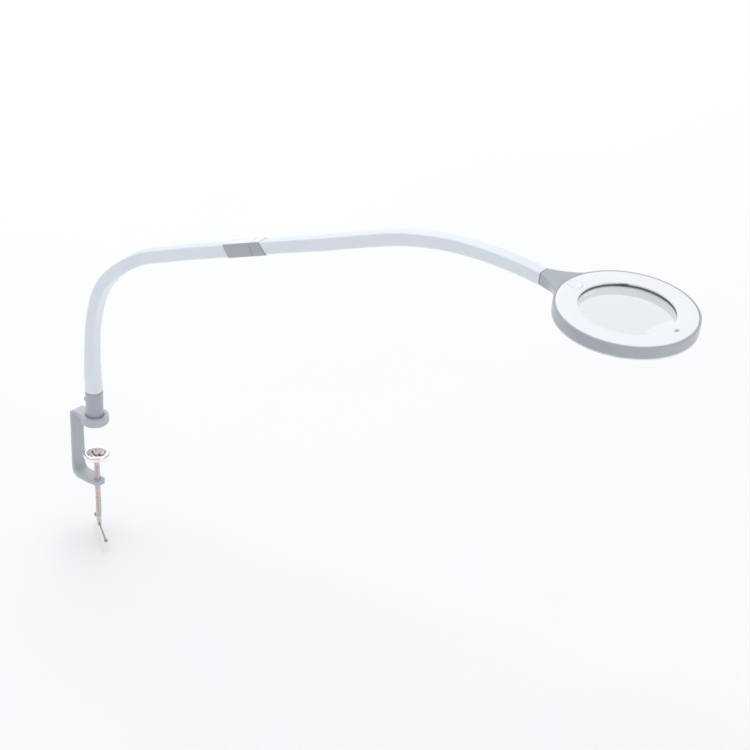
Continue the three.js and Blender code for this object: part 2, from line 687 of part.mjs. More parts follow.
function cover() {
  const plate = turned([
    [HOLE_RADIUS + 0.8, -2.2], [COVER_RADIUS, -2.2], [COVER_RADIUS, -0.6], [COVER_RADIUS - 0.6, 0],
    [HOLE_RADIUS + 0.8, 0], [HOLE_RADIUS, -0.8], [HOLE_RADIUS, -1.6],
  ], RING_SIDES);
  const bosses = COVER_SCREW_ANGLES.map(
    (angle) => onRing(disc(3.2, WEB_TOP + GAP, -2, 12), SCREW_CIRCLE, angle));
  const screwHoles = COVER_SCREW_ANGLES.map(
    (angle) => onRing(disc(1.6, WEB_TOP, -3.4, 10), SCREW_CIRCLE, angle));
  return shaped(plate, {
    join: bosses,
    cut: [
      ...screwHoles,
      catchTab(GAP * 2, -4, -1.2),
      disc(BUTTON_RADIUS + 0.4, -3, 1, 32).translate(BUTTON_AT, 0, 0),
      slab(stadium(8.6, 4.6), -3, 1, 6).translate(INDICATOR_AT, 0, 0),
    ],
  });
}

function button() {
  return turned([
    [0, -4.2], [3, -4.2], [3, -1.9], [BUTTON_RADIUS, -1.9], [BUTTON_RADIUS, -0.2],
    [BUTTON_RADIUS - 0.5, 0.2], [0, 0.2],
  ], 32).translate(BUTTON_AT, 0, 0);
}

// The lens seat: a ring of C section that grips the lens's edge, with a tab to draw it out.
function gasket() {
  const seat = turned([
    [64.2, -2.5], [68.6, -2.5], [68.6, -6.4], [64.2, -6.4], [64.2, -5.8], [67.3, -5.8],
    [67.3, -3.1], [64.2, -3.1],
  ], RING_SIDES);
  return shaped(seat, { join: [catchTab(0, -3.1, -1.5)] });
}

// A lens with a thin edge; its two faces are shallow arcs.
function lens() {
  const edge = 67;
  const steps = 4;
  const face = (height, rise) => Array.from({ length: steps }, (_, i) => {
    const radius = edge * (1 - i / steps);
    return [radius, height + rise * (1 - (radius / edge) ** 2)];
  });
  const lower = face(-4.9, -6);
  const upper = face(-4, 3);
  return turned([[0, -10.9], ...lower.reverse(), ...upper, [0, -1]], RING_SIDES);
}

function ledBoard() {
  const board = band(70, 89.5, -11.4, -10.2, RING_SIDES);
  const leds = Array.from({ length: LED_COUNT }, (_, i) => onRing(
    new THREE.BoxGeometry(3.5, 2.8, 1.1).translate(0, 0, -11.75), 84, (i / LED_COUNT) * Math.PI * 2));
  const screwRoom = COVER_SCREW_ANGLES.map(
    (angle) => onRing(disc(3.2, -14, -9, 12), SCREW_CIRCLE, angle));
  return shaped(board, { join: leds, cut: screwRoom });
}

// The driver board lies on the web under the button and carries the button's switch.
function driverBoard() {
  const top = WEB_TOP + 1.6;
  const board = new THREE.BoxGeometry(15, 30, 1.2).translate(BUTTON_AT, 0, top - 0.6);
  return shaped(board, {
    join: [
      disc(2.6, top - 0.2, -5.1, 12).translate(BUTTON_AT, 0, 0),
      new THREE.BoxGeometry(5, 4, 1.8).translate(BUTTON_AT - 3, 10.5, top + 0.7),
      new THREE.BoxGeometry(4, 6, 1.4).translate(BUTTON_AT + 3, -10, top + 0.5),
      new THREE.BoxGeometry(2, 3, 1).translate(BUTTON_AT - 4, -9, top + 0.3),
    ],
  });
}

add(head, 'head_housing', 'grey', housing());
add(head, 'head_cover', 'white', cover());
add(head, 'power_button', 'white', button());
add(head, 'indicator_window', 'grey',
  slab(stadium(8, 4), -1.9, 0.1, 6).translate(INDICATOR_AT, 0, 0));
add(head, 'lens_gasket', 'rubber', gasket());
add(head, 'lens', 'lens', lens());
add(head, 'inner_reflector', 'white', band(64, 66.4, -18.6, -6.7, RING_SIDES));
add(head, 'led_board', 'board', ledBoard());
add(head, 'driver_board', 'board', driverBoard());
add(head, 'diffuser_ring', 'diffuser', turned([
  [66.8, -19.2], [HOUSING_RADIUS - 1.6, -19.2], [HOUSING_RADIUS - 0.8, -18.6],
  [HOUSING_RADIUS - 0.8, HOUSING_BOTTOM - GAP], [WALL_INNER - 0.5, HOUSING_BOTTOM - GAP],
  [WALL_INNER - 0.5, -14.5], [WALL_INNER - 1.8, -14.5], [WALL_INNER - 1.8, HOUSING_BOTTOM - GAP],
  [66.8, HOUSING_BOTTOM - GAP],
], RING_SIDES));
COVER_SCREW_ANGLES.forEach((angle, i) => {
  const screw = turned([
    [0, -11.6], [2.6, -11.6], [2.8, -9.9], [1.3, -9.9], [1.3, -3.8], [0, -3.8],
  ], 12);
  add(head, `cover_screw_${i + 1}`, 'steel', onRing(screw, SCREW_CIRCLE, angle));
});
add(head, 'neck_set_screw', 'steel',
  setScrew(2, -NECK_MID + CORE_RADIUS + 0.9, -NECK_BOTTOM - 0.3).rotateX(Math.PI)
    .translate(NECK_END + 7, 0, 0));

export default root;
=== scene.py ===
"""The clamp-on ring lamp's looks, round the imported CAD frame. Lengths are millimetres until meshed."""
from bisect import bisect_right
from math import atan2, copysign, cos, pi, radians, sin, tan, tau

import bmesh
import bpy
from mathutils import Matrix, Vector


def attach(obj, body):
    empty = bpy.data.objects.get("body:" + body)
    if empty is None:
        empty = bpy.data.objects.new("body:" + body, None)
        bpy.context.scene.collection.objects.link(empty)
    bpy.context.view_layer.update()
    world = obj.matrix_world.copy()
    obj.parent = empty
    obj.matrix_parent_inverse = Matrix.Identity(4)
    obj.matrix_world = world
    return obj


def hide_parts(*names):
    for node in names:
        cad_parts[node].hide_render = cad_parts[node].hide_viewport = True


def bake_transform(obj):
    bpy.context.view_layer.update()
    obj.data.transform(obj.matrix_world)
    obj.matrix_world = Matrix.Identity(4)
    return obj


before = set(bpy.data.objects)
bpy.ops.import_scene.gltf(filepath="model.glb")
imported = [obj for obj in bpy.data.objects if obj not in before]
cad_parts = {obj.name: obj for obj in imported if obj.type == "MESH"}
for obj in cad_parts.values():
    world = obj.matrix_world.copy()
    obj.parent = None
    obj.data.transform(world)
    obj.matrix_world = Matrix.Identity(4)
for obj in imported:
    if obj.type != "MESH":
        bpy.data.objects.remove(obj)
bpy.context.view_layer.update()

MM = 0.001

# ---- driving dimensions, as in the CAD part ----
CLAMP_TURN = radians(-8)
COLLAR_RADIUS = 20.3
COLLAR_TOP = 14.5
COLLAR_BOTTOM = 1.3
COLLAR_FLOOR = 4.5
COLLAR_BORE = 14.0
STRAP_BACK = -44.3
STRAP_WIDTH = 22.0
STRAP_THICKNESS = 5.0
STRAP_TOP = 10.0
STRAP_TOP_BEND = 8.0
STRAP_BOTTOM_BEND = 17.0
JAW_TOP = -93.0
JAW_THICKNESS = 8.0
JAW_NOSE = 9.0
SCREW_RADIUS = 4.0
SCREW_BOTTOM = -173.0
SCREW_EYE_TOP = -165.5
SCREW_EYE_RADIUS = 3.2
THREAD_PITCH = 1.25
DISH_RIM = -49.2
DISH_RADIUS = 19.5
DISH_FLOOR = -59.2
DISH_BOTTOM = -62.7
TOMMY_HEIGHT = -169.0
TOMMY_TURN = radians(-30)
TOMMY_RADIUS = 1.3
TOMMY_ENDS = (-25.0, 51.0)
ARM_POINTS = [
    (0, 44), (-0.6, 109), (7, 180), (30, 239), (92, 296.3), (157, 325.7), (224, 351.8), (290, 376.5),
    (365, 404.9), (431, 429.1), (502, 456.5), (561, 477.4), (628, 492.1), (682, 496.9), (740, 496),
    (786, 491.3),
]
FERRULE_TOP = 54.0
FERRULE_BOTTOM = 6.4
FERRULE_RADIUS = 13.3
SLEEVE_HALF = 9.4
SLEEVE_CORNER = 2.2
SLEEVE_LOW_CORNER = 4.4
SLEEVE_CRISP = (110.0, 240.0)
SLEEVE_FOOT = (13.0, 90.0)
COUPLING_HALF = 10.2
COUPLING_START = 468.5
COUPLING_SEAM = 516.5
COUPLING_END = 537.5
SEAM_GAP = 0.5
END_GAP = 0.7
START_SLANT = 0.22
END_SLANT = 0.36
CAP_SEAT = 7.9
CAP_HALF = 8.2
LOWER_JOINTS = [125.0, 240.0, 355.0]
UPPER_JOINTS = [634.0, 729.0, 824.0, 919.0]
HEAD_CENTRE = (914.0, 4.3, 485.5)
HEAD_YAW, HEAD_PITCH, HEAD_ROLL = (radians(a) for a in (1.8, 6.85, -2.0))
HOUSING_RADIUS = 95.4
HOUSING_BOTTOM = -16.4
COVER_RADIUS = 92.5
HOLE_RADIUS = 63.8
WEB_TOP = -8.0
NECK_END = -127.2
NECK_MID = -9.3
BUTTON_AT = -80.0
BUTTON_RADIUS = 9.4
INDICATOR_AT = 74.5
CATCH_ANGLE = radians(127)
INLET_HEIGHT = 35.0
INLET_RADIUS = 3.6
GRUB_HEIGHT = 49.0
GAP = 0.3
SHARP_ANGLE = 32  # degrees between two faces that read as an edge
CORE_BORE = 6.3
SOCKET_BORE = 5.7


def spun(axis, angle):
    return Matrix.Rotation(angle, 4, axis)


def moved(x, y, z):
    return Matrix.Translation((x, y, z))


CLAMP_PLACE = spun("Z", CLAMP_TURN)
HEAD_PLACE = moved(*HEAD_CENTRE) @ spun("Z", HEAD_YAW) @ spun("Y", HEAD_PITCH) @ spun("X", HEAD_ROLL)


# ---- mesh making ----
def shown(name, data):
    """A new object in the scene."""
    obj = bpy.data.objects.new(name, data)
    bpy.context.collection.objects.link(obj)
    return obj


def shade(mesh, sharp=SHARP_ANGLE):
    """Smooth, except at sharp edges."""
    mesh.shade_smooth()
    mesh.set_sharp_from_angle(angle=radians(sharp))


def build(name, verts, faces, place=None, sharp=SHARP_ANGLE):
    """A mesh object in metres from millimetre points, facing outward."""
    mesh = bpy.data.meshes.new(name)
    place = place or Matrix.Identity(4)
    mesh.from_pydata([(place @ Vector(v)) * MM for v in verts], [], faces)
    bm = bmesh.new()
    bm.from_mesh(mesh)
    bmesh.ops.remove_doubles(bm, verts=bm.verts, dist=1e-7)
    bmesh.ops.recalc_face_normals(bm, faces=bm.faces)
    bm.to_mesh(mesh)
    bm.free()
    shade(mesh, sharp)
    return shown(name, mesh)


def filleted(corners, steps=5):
    """An outline from (x, y) or (x, y, corner radius) entries, with an arc at each rounded corner."""
    outline = []
    count = len(corners)
    for i, (x, y, *rounding) in enumerate(corners):
        radius = rounding[0] if rounding else 0
        corner = Vector((x, y))
        if radius <= 0:
            outline.append(corner)
            continue
        back = Vector(corners[i - 1][:2]) - corner
        ahead = Vector(corners[(i + 1) % count][:2]) - corner
        half = back.angle(ahead) / 2
        reach = min(radius / tan(half), back.length * 0.49, ahead.length * 0.49)
        radius = reach * tan(half)
        centre = corner + (back.normalized() + ahead.normalized()).normalized() * (radius / sin(half))
        first = corner + back.normalized() * reach - centre
        last = corner + ahead.normalized() * reach - centre
        start = atan2(first.y, first.x)
        turn = (atan2(last.y, last.x) - start + pi) % tau - pi
        for k in range(steps + 1):
            angle = start + turn * k / steps
            outline.append(centre + Vector((cos(angle), sin(angle))) * radius)
    return outline


def turned(name, corners, place=None, sides=96, sharp=SHARP_ANGLE):
    """A shape of revolution about Z from a filleted outline of radii and heights: a solid if it starts and
    ends on the axis, and otherwise a ring."""
    verts, faces, rings = [], [], []
    for point in filleted(corners):
        if point.x < 1e-6:
            rings.append([len(verts)] * sides)
            verts.append((0, 0, point.y))
            continue
        rings.append(list(range(len(verts), len(verts) + sides)))
        for k in range(sides):
            angle = tau * k / sides
            verts.append((point.x * cos(angle), point.x * sin(angle), point.y))
    for low, high in zip(rings, rings[1:] + rings[:1]):
        if low[0] == low[1] and high[0] == high[1]:
            continue
        for k in range(sides):
            n = (k + 1) % sides
            face = [low[k], low[n], high[n], high[k]]
            faces.append([v for j, v in enumerate(face) if v not in face[:j]])
    return build(name, verts, faces, place, sharp)


def plug(radius, low, high, place=None, sides=48):
    """A plain cylinder about Z, to cut with."""
    return turned("plug", [(0, low), (radius, low), (radius, high), (0, high)], place, sides)


def lofted(name, rings, place=None, bore=None):
    """A skin over rings of points; with bore, the matching inner rings make it a tube."""
    sides = len(rings[0])
    verts = [p for ring in rings for p in ring]
    faces = skin_faces(0, len(rings), sides)
    last = (len(rings) - 1) * sides
    if bore:
        base = len(verts)
        verts += [p for ring in bore for p in ring]
        faces += [face[::-1] for face in skin_faces(base, len(bore), sides)]
        inner_last = base + (len(bore) - 1) * sides
        for k in range(sides):
            n = (k + 1) % sides
            faces.append([base + k, base + n, n, k])
            faces.append([last + k, last + n, inner_last + n, inner_last + k])
    else:
        faces.append(list(range(sides))[::-1])
        faces.append(list(range(last, last + sides)))
    return build(name, verts, faces, place)


def skin_faces(base, count, sides):
    """The side faces between rings of points that start at vertex number base."""
    faces = []
    for i in range(count - 1):
        for k in range(sides):
            n = (k + 1) % sides
            row = base + i * sides
            faces.append([row + k, row + n, row + sides + n, row + sides + k])
    return faces


def slab(name, outline, low, high, place=None, plane="XY"):
    """An outline given thickness along the third axis."""
    count = len(outline)
    verts = []
    for height in (low, high):
        for p in outline:
            verts.append((p[0], p[1], height) if plane == "XY" else (p[0], height, p[1]))
    faces = [list(range(count))[::-1], list(range(count, 2 * count))]
    for k in range(count):
        n = (k + 1) % count
        faces.append([k, n, count + n, count + k])
    return build(name, verts, faces, place)


def pillow(name, outlines, heights, place):
    """A plate from matching outlines at rising heights, closed at both ends."""
    rings = [[(x, y, height) for x, y in outline] for outline, height in zip(outlines, heights)]
    return lofted(name, rings, place)


def tile(half_x, half_y, radius=0.0, steps=5, y=0.0):
    """A rectangle with round corners, moved along Y."""
    return filleted([
        (-half_x, y - half_y, radius), (half_x, y - half_y, radius),
        (half_x, y + half_y, radius), (-half_x, y + half_y, radius),
    ], steps)


def stadium(length, width, steps=12):
    """An outline with half-round ends, long along Y."""
    half, radius = (length - width) / 2, width / 2
    points = []
    for start, middle in ((0.0, half), (pi, -half)):
        for k in range(steps + 1):
            a = start + pi * k / steps
            points.append((radius * cos(a), middle + radius * sin(a)))
    return points


def bar(name, radius, start, end, turn, height, place=None, sides=48):
    """A round bar along a horizontal direction with softened ends."""
    lie = moved(0, 0, height) @ spun("Z", turn) @ spun("Y", pi / 2)
    corners = [(0, start), (radius, start, 0.4), (radius, end, 0.4), (0, end)]
    return turned(name, corners, (place or Matrix.Identity(4)) @ lie, sides)


def settle(obj):
    """Bakes an object's modifiers into its mesh."""
    graph = bpy.context.evaluated_depsgraph_get()
    mesh = bpy.data.meshes.new_from_object(obj.evaluated_get(graph))
    obj.modifiers.clear()
    obj.data = mesh


def cut(obj, *cutters):
    """Takes the cutters out of an object and welds the specks that are left along the cuts."""
    for cutter in cutters:
        modifier = obj.modifiers.new("cut", "BOOLEAN")
        modifier.operation = "DIFFERENCE"
        modifier.solver = "EXACT"
        modifier.object = cutter
    settle(obj)
    for cutter in cutters:
        bpy.data.objects.remove(cutter)
    bm = bmesh.new()
    bm.from_mesh(obj.data)
    bmesh.ops.remove_doubles(bm, verts=bm.verts, dist=2e-6)
    bmesh.ops.dissolve_degenerate(bm, edges=bm.edges, dist=1e-6)
    bm.to_mesh(obj.data)
    bm.free()
    shade(obj.data)


def gathered(name, pieces):
    """One object that takes over several pieces' meshes."""
    bm = bmesh.new()
    for piece in pieces:
        bm.from_mesh(piece.data)
        bpy.data.objects.remove(piece)
    mesh = bpy.data.meshes.new(name)
    bm.to_mesh(mesh)
    bm.free()
    return shown(name, mesh)


def fuse(name, pieces, voxel, smoothing):
    """One cast form from overlapping solids: their union with its inner corners filled and edges rounded."""
    obj = gathered(name, pieces)
    remesh = obj.modifiers.new("remesh", "REMESH")
    remesh.mode = "VOXEL"
    remesh.voxel_size = voxel * MM
    smooth = obj.modifiers.new("smooth", "SMOOTH")
    smooth.factor = 0.5
    smooth.iterations = smoothing
    settle(obj)
    obj.data.shade_smooth()
    return obj


def joined(name, pieces):
    """Several closed solids kept as one object."""
    obj = gathered(name, pieces)
    shade(obj.data)
    return obj


def paint(obj, material):
    obj.data.materials.clear()
    obj.data.materials.append(material)


def finish(obj, material, slot, body, *nodes):
    """Gives a piece its material, the CAD nodes it stands for, and its body; the slot is not used."""
    paint(obj, material)
    if nodes:
        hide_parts(*nodes)
    if body:
        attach(obj, body)


# ---- materials ----
def add_node(tree, kind, **values):
    """A shader node with some of its inputs set."""
    node = tree.nodes.new("ShaderNode" + kind)
    for socket, value in values.items():
        node.inputs[socket.replace("_", " ")].default_value = value
    return node


class Surface:
    """A procedural material: one shader with colour, roughness and bump worked out by noise."""

    def __init__(self, name, colour, roughness, metallic=0.0):
        self.material = bpy.data.materials.new(name)
        self.material.use_nodes = True
        self.tree = self.material.node_tree
        self.link = self.tree.links.new
        self.shader = self.tree.nodes["Principled BSDF"]
        self.colour = colour
        self.roughness = roughness
        self.bumps = None
        self.place = add_node(self.tree, "TexCoord").outputs["Object"]
        self.set(Base_Color=(*colour, 1), Metallic=metallic, Roughness=roughness)

    def noise(self, scale, detail=3.0, roughness=0.5, distortion=0.0, stretch=None):
        node = add_node(self.tree, "TexNoise", Scale=scale, Detail=detail, Roughness=roughness,
                        Distortion=distortion)
        place = self.place
        if stretch:
            mapping = add_node(self.tree, "Mapping", Scale=stretch)
            self.link(place, mapping.inputs["Vector"])
            place = mapping.outputs["Vector"]
        self.link(place, node.inputs["Vector"])
        return node.outputs["Fac"]

    def ramp(self, value, low, high, start=0.35, end=0.65):
        node = add_node(self.tree, "MapRange", From_Min=start, From_Max=end, To_Min=low, To_Max=high)
        self.link(value, node.inputs["Value"])
        return node.outputs["Result"]

    def vary_roughness(self, value, spread):
        result = self.ramp(value, self.roughness - spread, self.roughness + spread)
        self.link(result, self.shader.inputs["Roughness"])

    def vary_colour(self, value, other, amount=1.0, start=0.35, end=0.65):
        mix = add_node(self.tree, "Mix")
        mix.data_type = "RGBA"
        share, first, second = mix.inputs[0], mix.inputs[6], mix.inputs[7]
        source = self.shader.inputs["Base Color"]
        if source.is_linked:
            self.link(source.links[0].from_socket, first)
        else:
            first.default_value = (*self.colour, 1)
        second.default_value = (*other, 1)
        self.link(self.ramp(value, 0, amount, start, end), share)
        self.link(mix.outputs[2], source)

    def bump(self, value, depth, strength=1.0):
        """Raises the surface by a pattern; depth is in millimetres."""
        node = add_node(self.tree, "Bump", Strength=strength, Distance=depth * MM)
        self.link(value, node.inputs["Height"])
        if self.bumps:
            self.link(self.bumps, node.inputs["Normal"])
        self.bumps = node.outputs["Normal"]
        self.link(self.bumps, self.shader.inputs["Normal"])

    def set(self, **values):
        for socket, value in values.items():
            self.shader.inputs[socket.replace("_", " ")].default_value = value
        return self


def surface(name, colour, roughness, tint, grain, *bumps, metallic=0.0, **sockets):
    """A material whose colour leans to another (tint), whose roughness varies (grain) and whose skin has
    bumps. Each of the three opens with its noise's scale, detail, roughness, distortion and stretch."""
    s = Surface(name, colour, roughness, metallic)
    s.vary_colour(s.noise(*tint[0]), *tint[1:])
    s.vary_roughness(s.noise(*grain[0]), grain[1])
    for pattern, depth, strength in bumps:
        s.bump(s.noise(*pattern), depth, strength)
    return s.set(**sockets).material


def chrome():
    """Bright plating, with painted reflections: dark streaks painted into its colour down in the bowl."""
    s = Surface("pad_chrome", (0.97, 0.915, 0.905), 0.09, 1.0)
    s.vary_colour(s.noise(120, 4), (0.92, 0.86, 0.845), 0.5)
    split, flat, radius = (add_node(s.tree, kind) for kind in ("SeparateXYZ", "CombineXYZ", "VectorMath"))
    radius.operation = "LENGTH"
    s.link(s.place, split.inputs[0])
    for axis in "XY":
        s.link(split.outputs[axis], flat.inputs[axis])
    s.link(flat.outputs[0], radius.inputs[0])
    # Painted reflection: dark streaks painted into the plating's colour, kept to the bowl by these two masks.
    depth = s.ramp(split.outputs["Z"], 1.0, 0.0, (DISH_RIM - 3.2) * MM, (DISH_RIM - 1.8) * MM)
    inside = s.ramp(radius.outputs["Value"], 1.0, 0.0, (DISH_RADIUS - 5.5) * MM, (DISH_RADIUS - 4.5) * MM)
    painted_reflection = s.ramp(s.noise(130, 3, 0.6, 1.2, (1, 1, 0.25)), 0.0, 1.0, 0.5, 0.6)
    for share in (depth, inside):
        times = add_node(s.tree, "Math")
        times.operation = "MULTIPLY"
        s.link(painted_reflection, times.inputs[0])
        s.link(share, times.inputs[1])
        painted_reflection = times.outputs[0]
    # the dark colour of the painted reflection streaks
    s.vary_colour(painted_reflection, (0.13, 0.085, 0.075), 0.9, 0.0, 1.0)
    s.vary_roughness(s.noise(600, 5), 0.035)
    s.bump(s.noise(260, 2), 0.03, 0.4)
    return s.material


def plain_steel(name, colour):
    worn = tuple(c * 0.72 for c in colour)
    return surface(name, colour, 0.34, ((400, 4), worn, 0.7), ((900, 3), 0.1), ((1600, 2), 0.012, 0.5),
                   metallic=1.0)


def dark_rubber(name, colour):
    dusty = tuple(c * 1.35 for c in colour)
    return surface(name, colour, 0.66, ((120, 4), dusty, 0.7), ((900, 3), 0.1), ((2600, 3, 0.6), 0.03, 0.6))


def clear_lens():
    """Clear glass, thin to light: mostly seen through, with a faint gloss that grows at a slant."""
    material = bpy.data.materials.new("lens_clear")
    material.use_nodes = True
    tree = material.node_tree
    tree.nodes.remove(tree.nodes["Principled BSDF"])
    through = add_node(tree, "BsdfTransparent", Color=(0.985, 0.99, 0.99, 1))
    gloss = add_node(tree, "BsdfGlossy", Roughness=0.02)
    slant = add_node(tree, "LayerWeight", Blend=0.25)
    share = add_node(tree, "MapRange", To_Min=0.012, To_Max=0.3)
    mix = add_node(tree, "MixShader")
    for output, socket in (
        (slant.outputs["Facing"], share.inputs["Value"]),
        (share.outputs[0], mix.inputs[0]),
        (through.outputs[0], mix.inputs[1]),
        (gloss.outputs[0], mix.inputs[2]),
        (mix.outputs[0], tree.nodes["Material Output"].inputs["Surface"]),
    ):
        tree.links.new(output, socket)
    return material


COAT = surface(
    "clamp_powder_coat", (0.545, 0.575, 0.605), 0.44, ((60, 4), (0.515, 0.545, 0.575), 0.7),
    ((900, 2), 0.07), ((1500, 3, 0.55), 0.06, 0.55), Coat_Weight=0.15, Coat_Roughness=0.3)
GREY = surface(
    "moulded_grey", (0.448, 0.48, 0.513), 0.36, ((45, 3), (0.43, 0.462, 0.495), 0.8),
    ((700, 3), 0.06), ((3200, 2, 0.6), 0.02, 0.5), Coat_Weight=0.5, Coat_Roughness=0.2)
SLEEVE = surface(
    "sleeve_silicone", (0.90, 0.925, 0.965), 0.42, ((28, 4), (0.88, 0.908, 0.955), 0.7),
    ((420, 4), 0.07), ((2600, 2, 0.5), 0.02, 0.45), ((35, 2), 0.12, 0.35),
    Subsurface_Weight=0.08, Sheen_Weight=0.12, Sheen_Roughness=0.5)
WHITE = surface(
    "cover_white", (0.955, 0.97, 0.995), 0.34, ((25, 3), (0.94, 0.957, 0.985), 0.7),
    ((300, 5), 0.05), ((700, 2), 0.006, 0.3), Coat_Weight=0.15, Coat_Roughness=0.2)
FROST = surface(
    "diffuser_frosted", (0.90, 0.905, 0.915), 0.55, ((40, 3), (0.87, 0.88, 0.9), 0.6),
    ((800, 3), 0.08), ((4200, 2, 0.7), 0.03, 0.6))
NICKEL = surface(
    "screw_nickel", (0.78, 0.71, 0.68), 0.3, ((90, 4, 0.5), (0.70, 0.63, 0.60), 0.6),
    ((500, 4), 0.06), ((900, 3, 0.5, 0.0, (1, 1, 0.15)), 0.012, 0.4), metallic=1.0)
CHROME = chrome()
STEEL = plain_steel("plain_steel", (0.46, 0.46, 0.47))
TOMMY_STEEL = plain_steel("tommy_steel", (0.50, 0.49, 0.465))
SEAT_RUBBER = dark_rubber("seat_rubber", (0.36, 0.37, 0.385))
RUBBER = dark_rubber("gasket_rubber", (0.13, 0.136, 0.145))
PAD_RUBBER = dark_rubber("jaw_pad_rubber", (0.035, 0.036, 0.038))
NYLON = surface(
    "grey_nylon", (0.36, 0.38, 0.40), 0.5, ((140, 3), (0.31, 0.33, 0.35), 0.6),
    ((1000, 3), 0.08), ((3000, 2), 0.02, 0.5))
BOARD = surface(
    "solder_mask", (0.80, 0.83, 0.80), 0.4, ((300, 2), (0.55, 0.6, 0.56), 0.8, 0.5, 0.75),
    ((500, 3), 0.08), ((1200, 2), 0.03, 0.5))
PHOSPHOR = surface(
    "led_phosphor", (0.86, 0.74, 0.28), 0.35, ((900, 2), (0.8, 0.66, 0.2), 0.6),
    ((1500, 2), 0.06), ((2500, 2), 0.02, 0.5))
INDICATOR = surface(
    "indicator_window", (0.5, 0.52, 0.54), 0.2, ((300, 3), (0.43, 0.45, 0.47), 0.6),
    ((900, 3), 0.05), ((2000, 2), 0.01, 0.4), Coat_Weight=0.4)
LENS = clear_lens()


# ---- the arm's centre line ----
def centripetal(points, per_stretch=60):
    """Points along the smooth curve through the given ones, the ends carried on straight."""
    points = [Vector(p) for p in points]
    ends = [points[0] * 2 - points[1]] + points + [points[-1] * 2 - points[-2]]
    line = [points[0]]
    for a, b, c, d in zip(ends, ends[1:], ends[2:], ends[3:]):
        ta, tb, tc = ((q - p).length ** 0.5 for p, q in ((a, b), (b, c), (c, d)))
        out = ((b - a) / ta - (c - a) / (ta + tb) + (c - b) / tb) * tb
        into = ((c - b) / tb - (d - b) / (tb + tc) + (d - c) / tc) * tb
        for k in range(1, per_stretch + 1):
            t = k / per_stretch
            line.append(
                b * (2 * t**3 - 3 * t**2 + 1) + out * (t**3 - 2 * t**2 + t)
                + c * (3 * t**2 - 2 * t**3) + into * (t**3 - t**2)
            )
    return line


class ArmLine:
    """Places and directions by distance along the arm."""

    def __init__(self, points):
        self.line = centripetal(points)
        self.at = [0.0]
        for p, q in zip(self.line, self.line[1:]):
            self.at.append(self.at[-1] + (q - p).length)
        self.length = self.at[-1]

    def point(self, distance):
        low = min(max(bisect_right(self.at, distance) - 1, 0), len(self.at) - 2)
        share = (distance - self.at[low]) / (self.at[low + 1] - self.at[low])
        return self.line[low].lerp(self.line[low + 1], share)

    def direction(self, distance):
        step = 1.5
        near = max(0.0, distance - step)
        far = min(self.length, distance + step)
        return (self.point(far) - self.point(near)).normalized()

    def place(self, distance):
        """A frame whose Z follows the arm, whose Y is across it and whose X faces its underside."""
        p, t = self.point(distance), self.direction(distance)
        return Matrix((
            (t.y, 0, t.x, p.x),
            (0, 1, 0, 0),
            (-t.x, 0, t.y, p.y),
            (0, 0, 0, 1),
        ))


ARM = ArmLine(ARM_POINTS)


def section(half, corner, steps=8):
    """A square with round corners, as points about the middle; corner equal to half makes a circle."""
    points = []
    flat = half - corner
    for quarter, (side, up) in enumerate(((1, 1), (-1, 1), (-1, -1), (1, -1))):
        for k in range(steps + 1):
            angle = (quarter + k / steps) * pi / 2
            points.append((side * flat + corner * cos(angle), up * flat + corner * sin(angle)))
    return points


def arm_ring(distance, half, corner, slant=0.0):
    """A section of the arm; slanted, its underside lies further along than its top."""
    place = ARM.place(distance)
    return [place @ Vector((x, y, slant * x)) for x, y in section(half, corner)]


def clamped(x):
    return min(1.0, max(0.0, x))


def smoothstep(x):
    x = clamped(x)
    return x * x * (3 - 2 * x)


def lip_stops(start, end, spacing, radius, round_start, round_end):
    """Distances along a sleeve with how far its surface draws in there, so that its ends are rounded."""
    turns = [pi / 2 * k / 5 for k in range(6)]
    stops = []
    if round_start:
        stops += [(start + radius * (1 - sin(a)), radius * (1 - cos(a))) for a in turns[:0:-1]]
    first = start + (radius if round_start else 0)
    last = end - (radius if round_end else 0)
    count = max(1, round((last - first) / spacing))
    stops += [(first + (last - first) * k / count, 0.0) for k in range(count + 1)]
    if round_end:
        stops += [(end - radius * (1 - sin(a)), radius * (1 - cos(a))) for a in turns[1:]]
    return stops


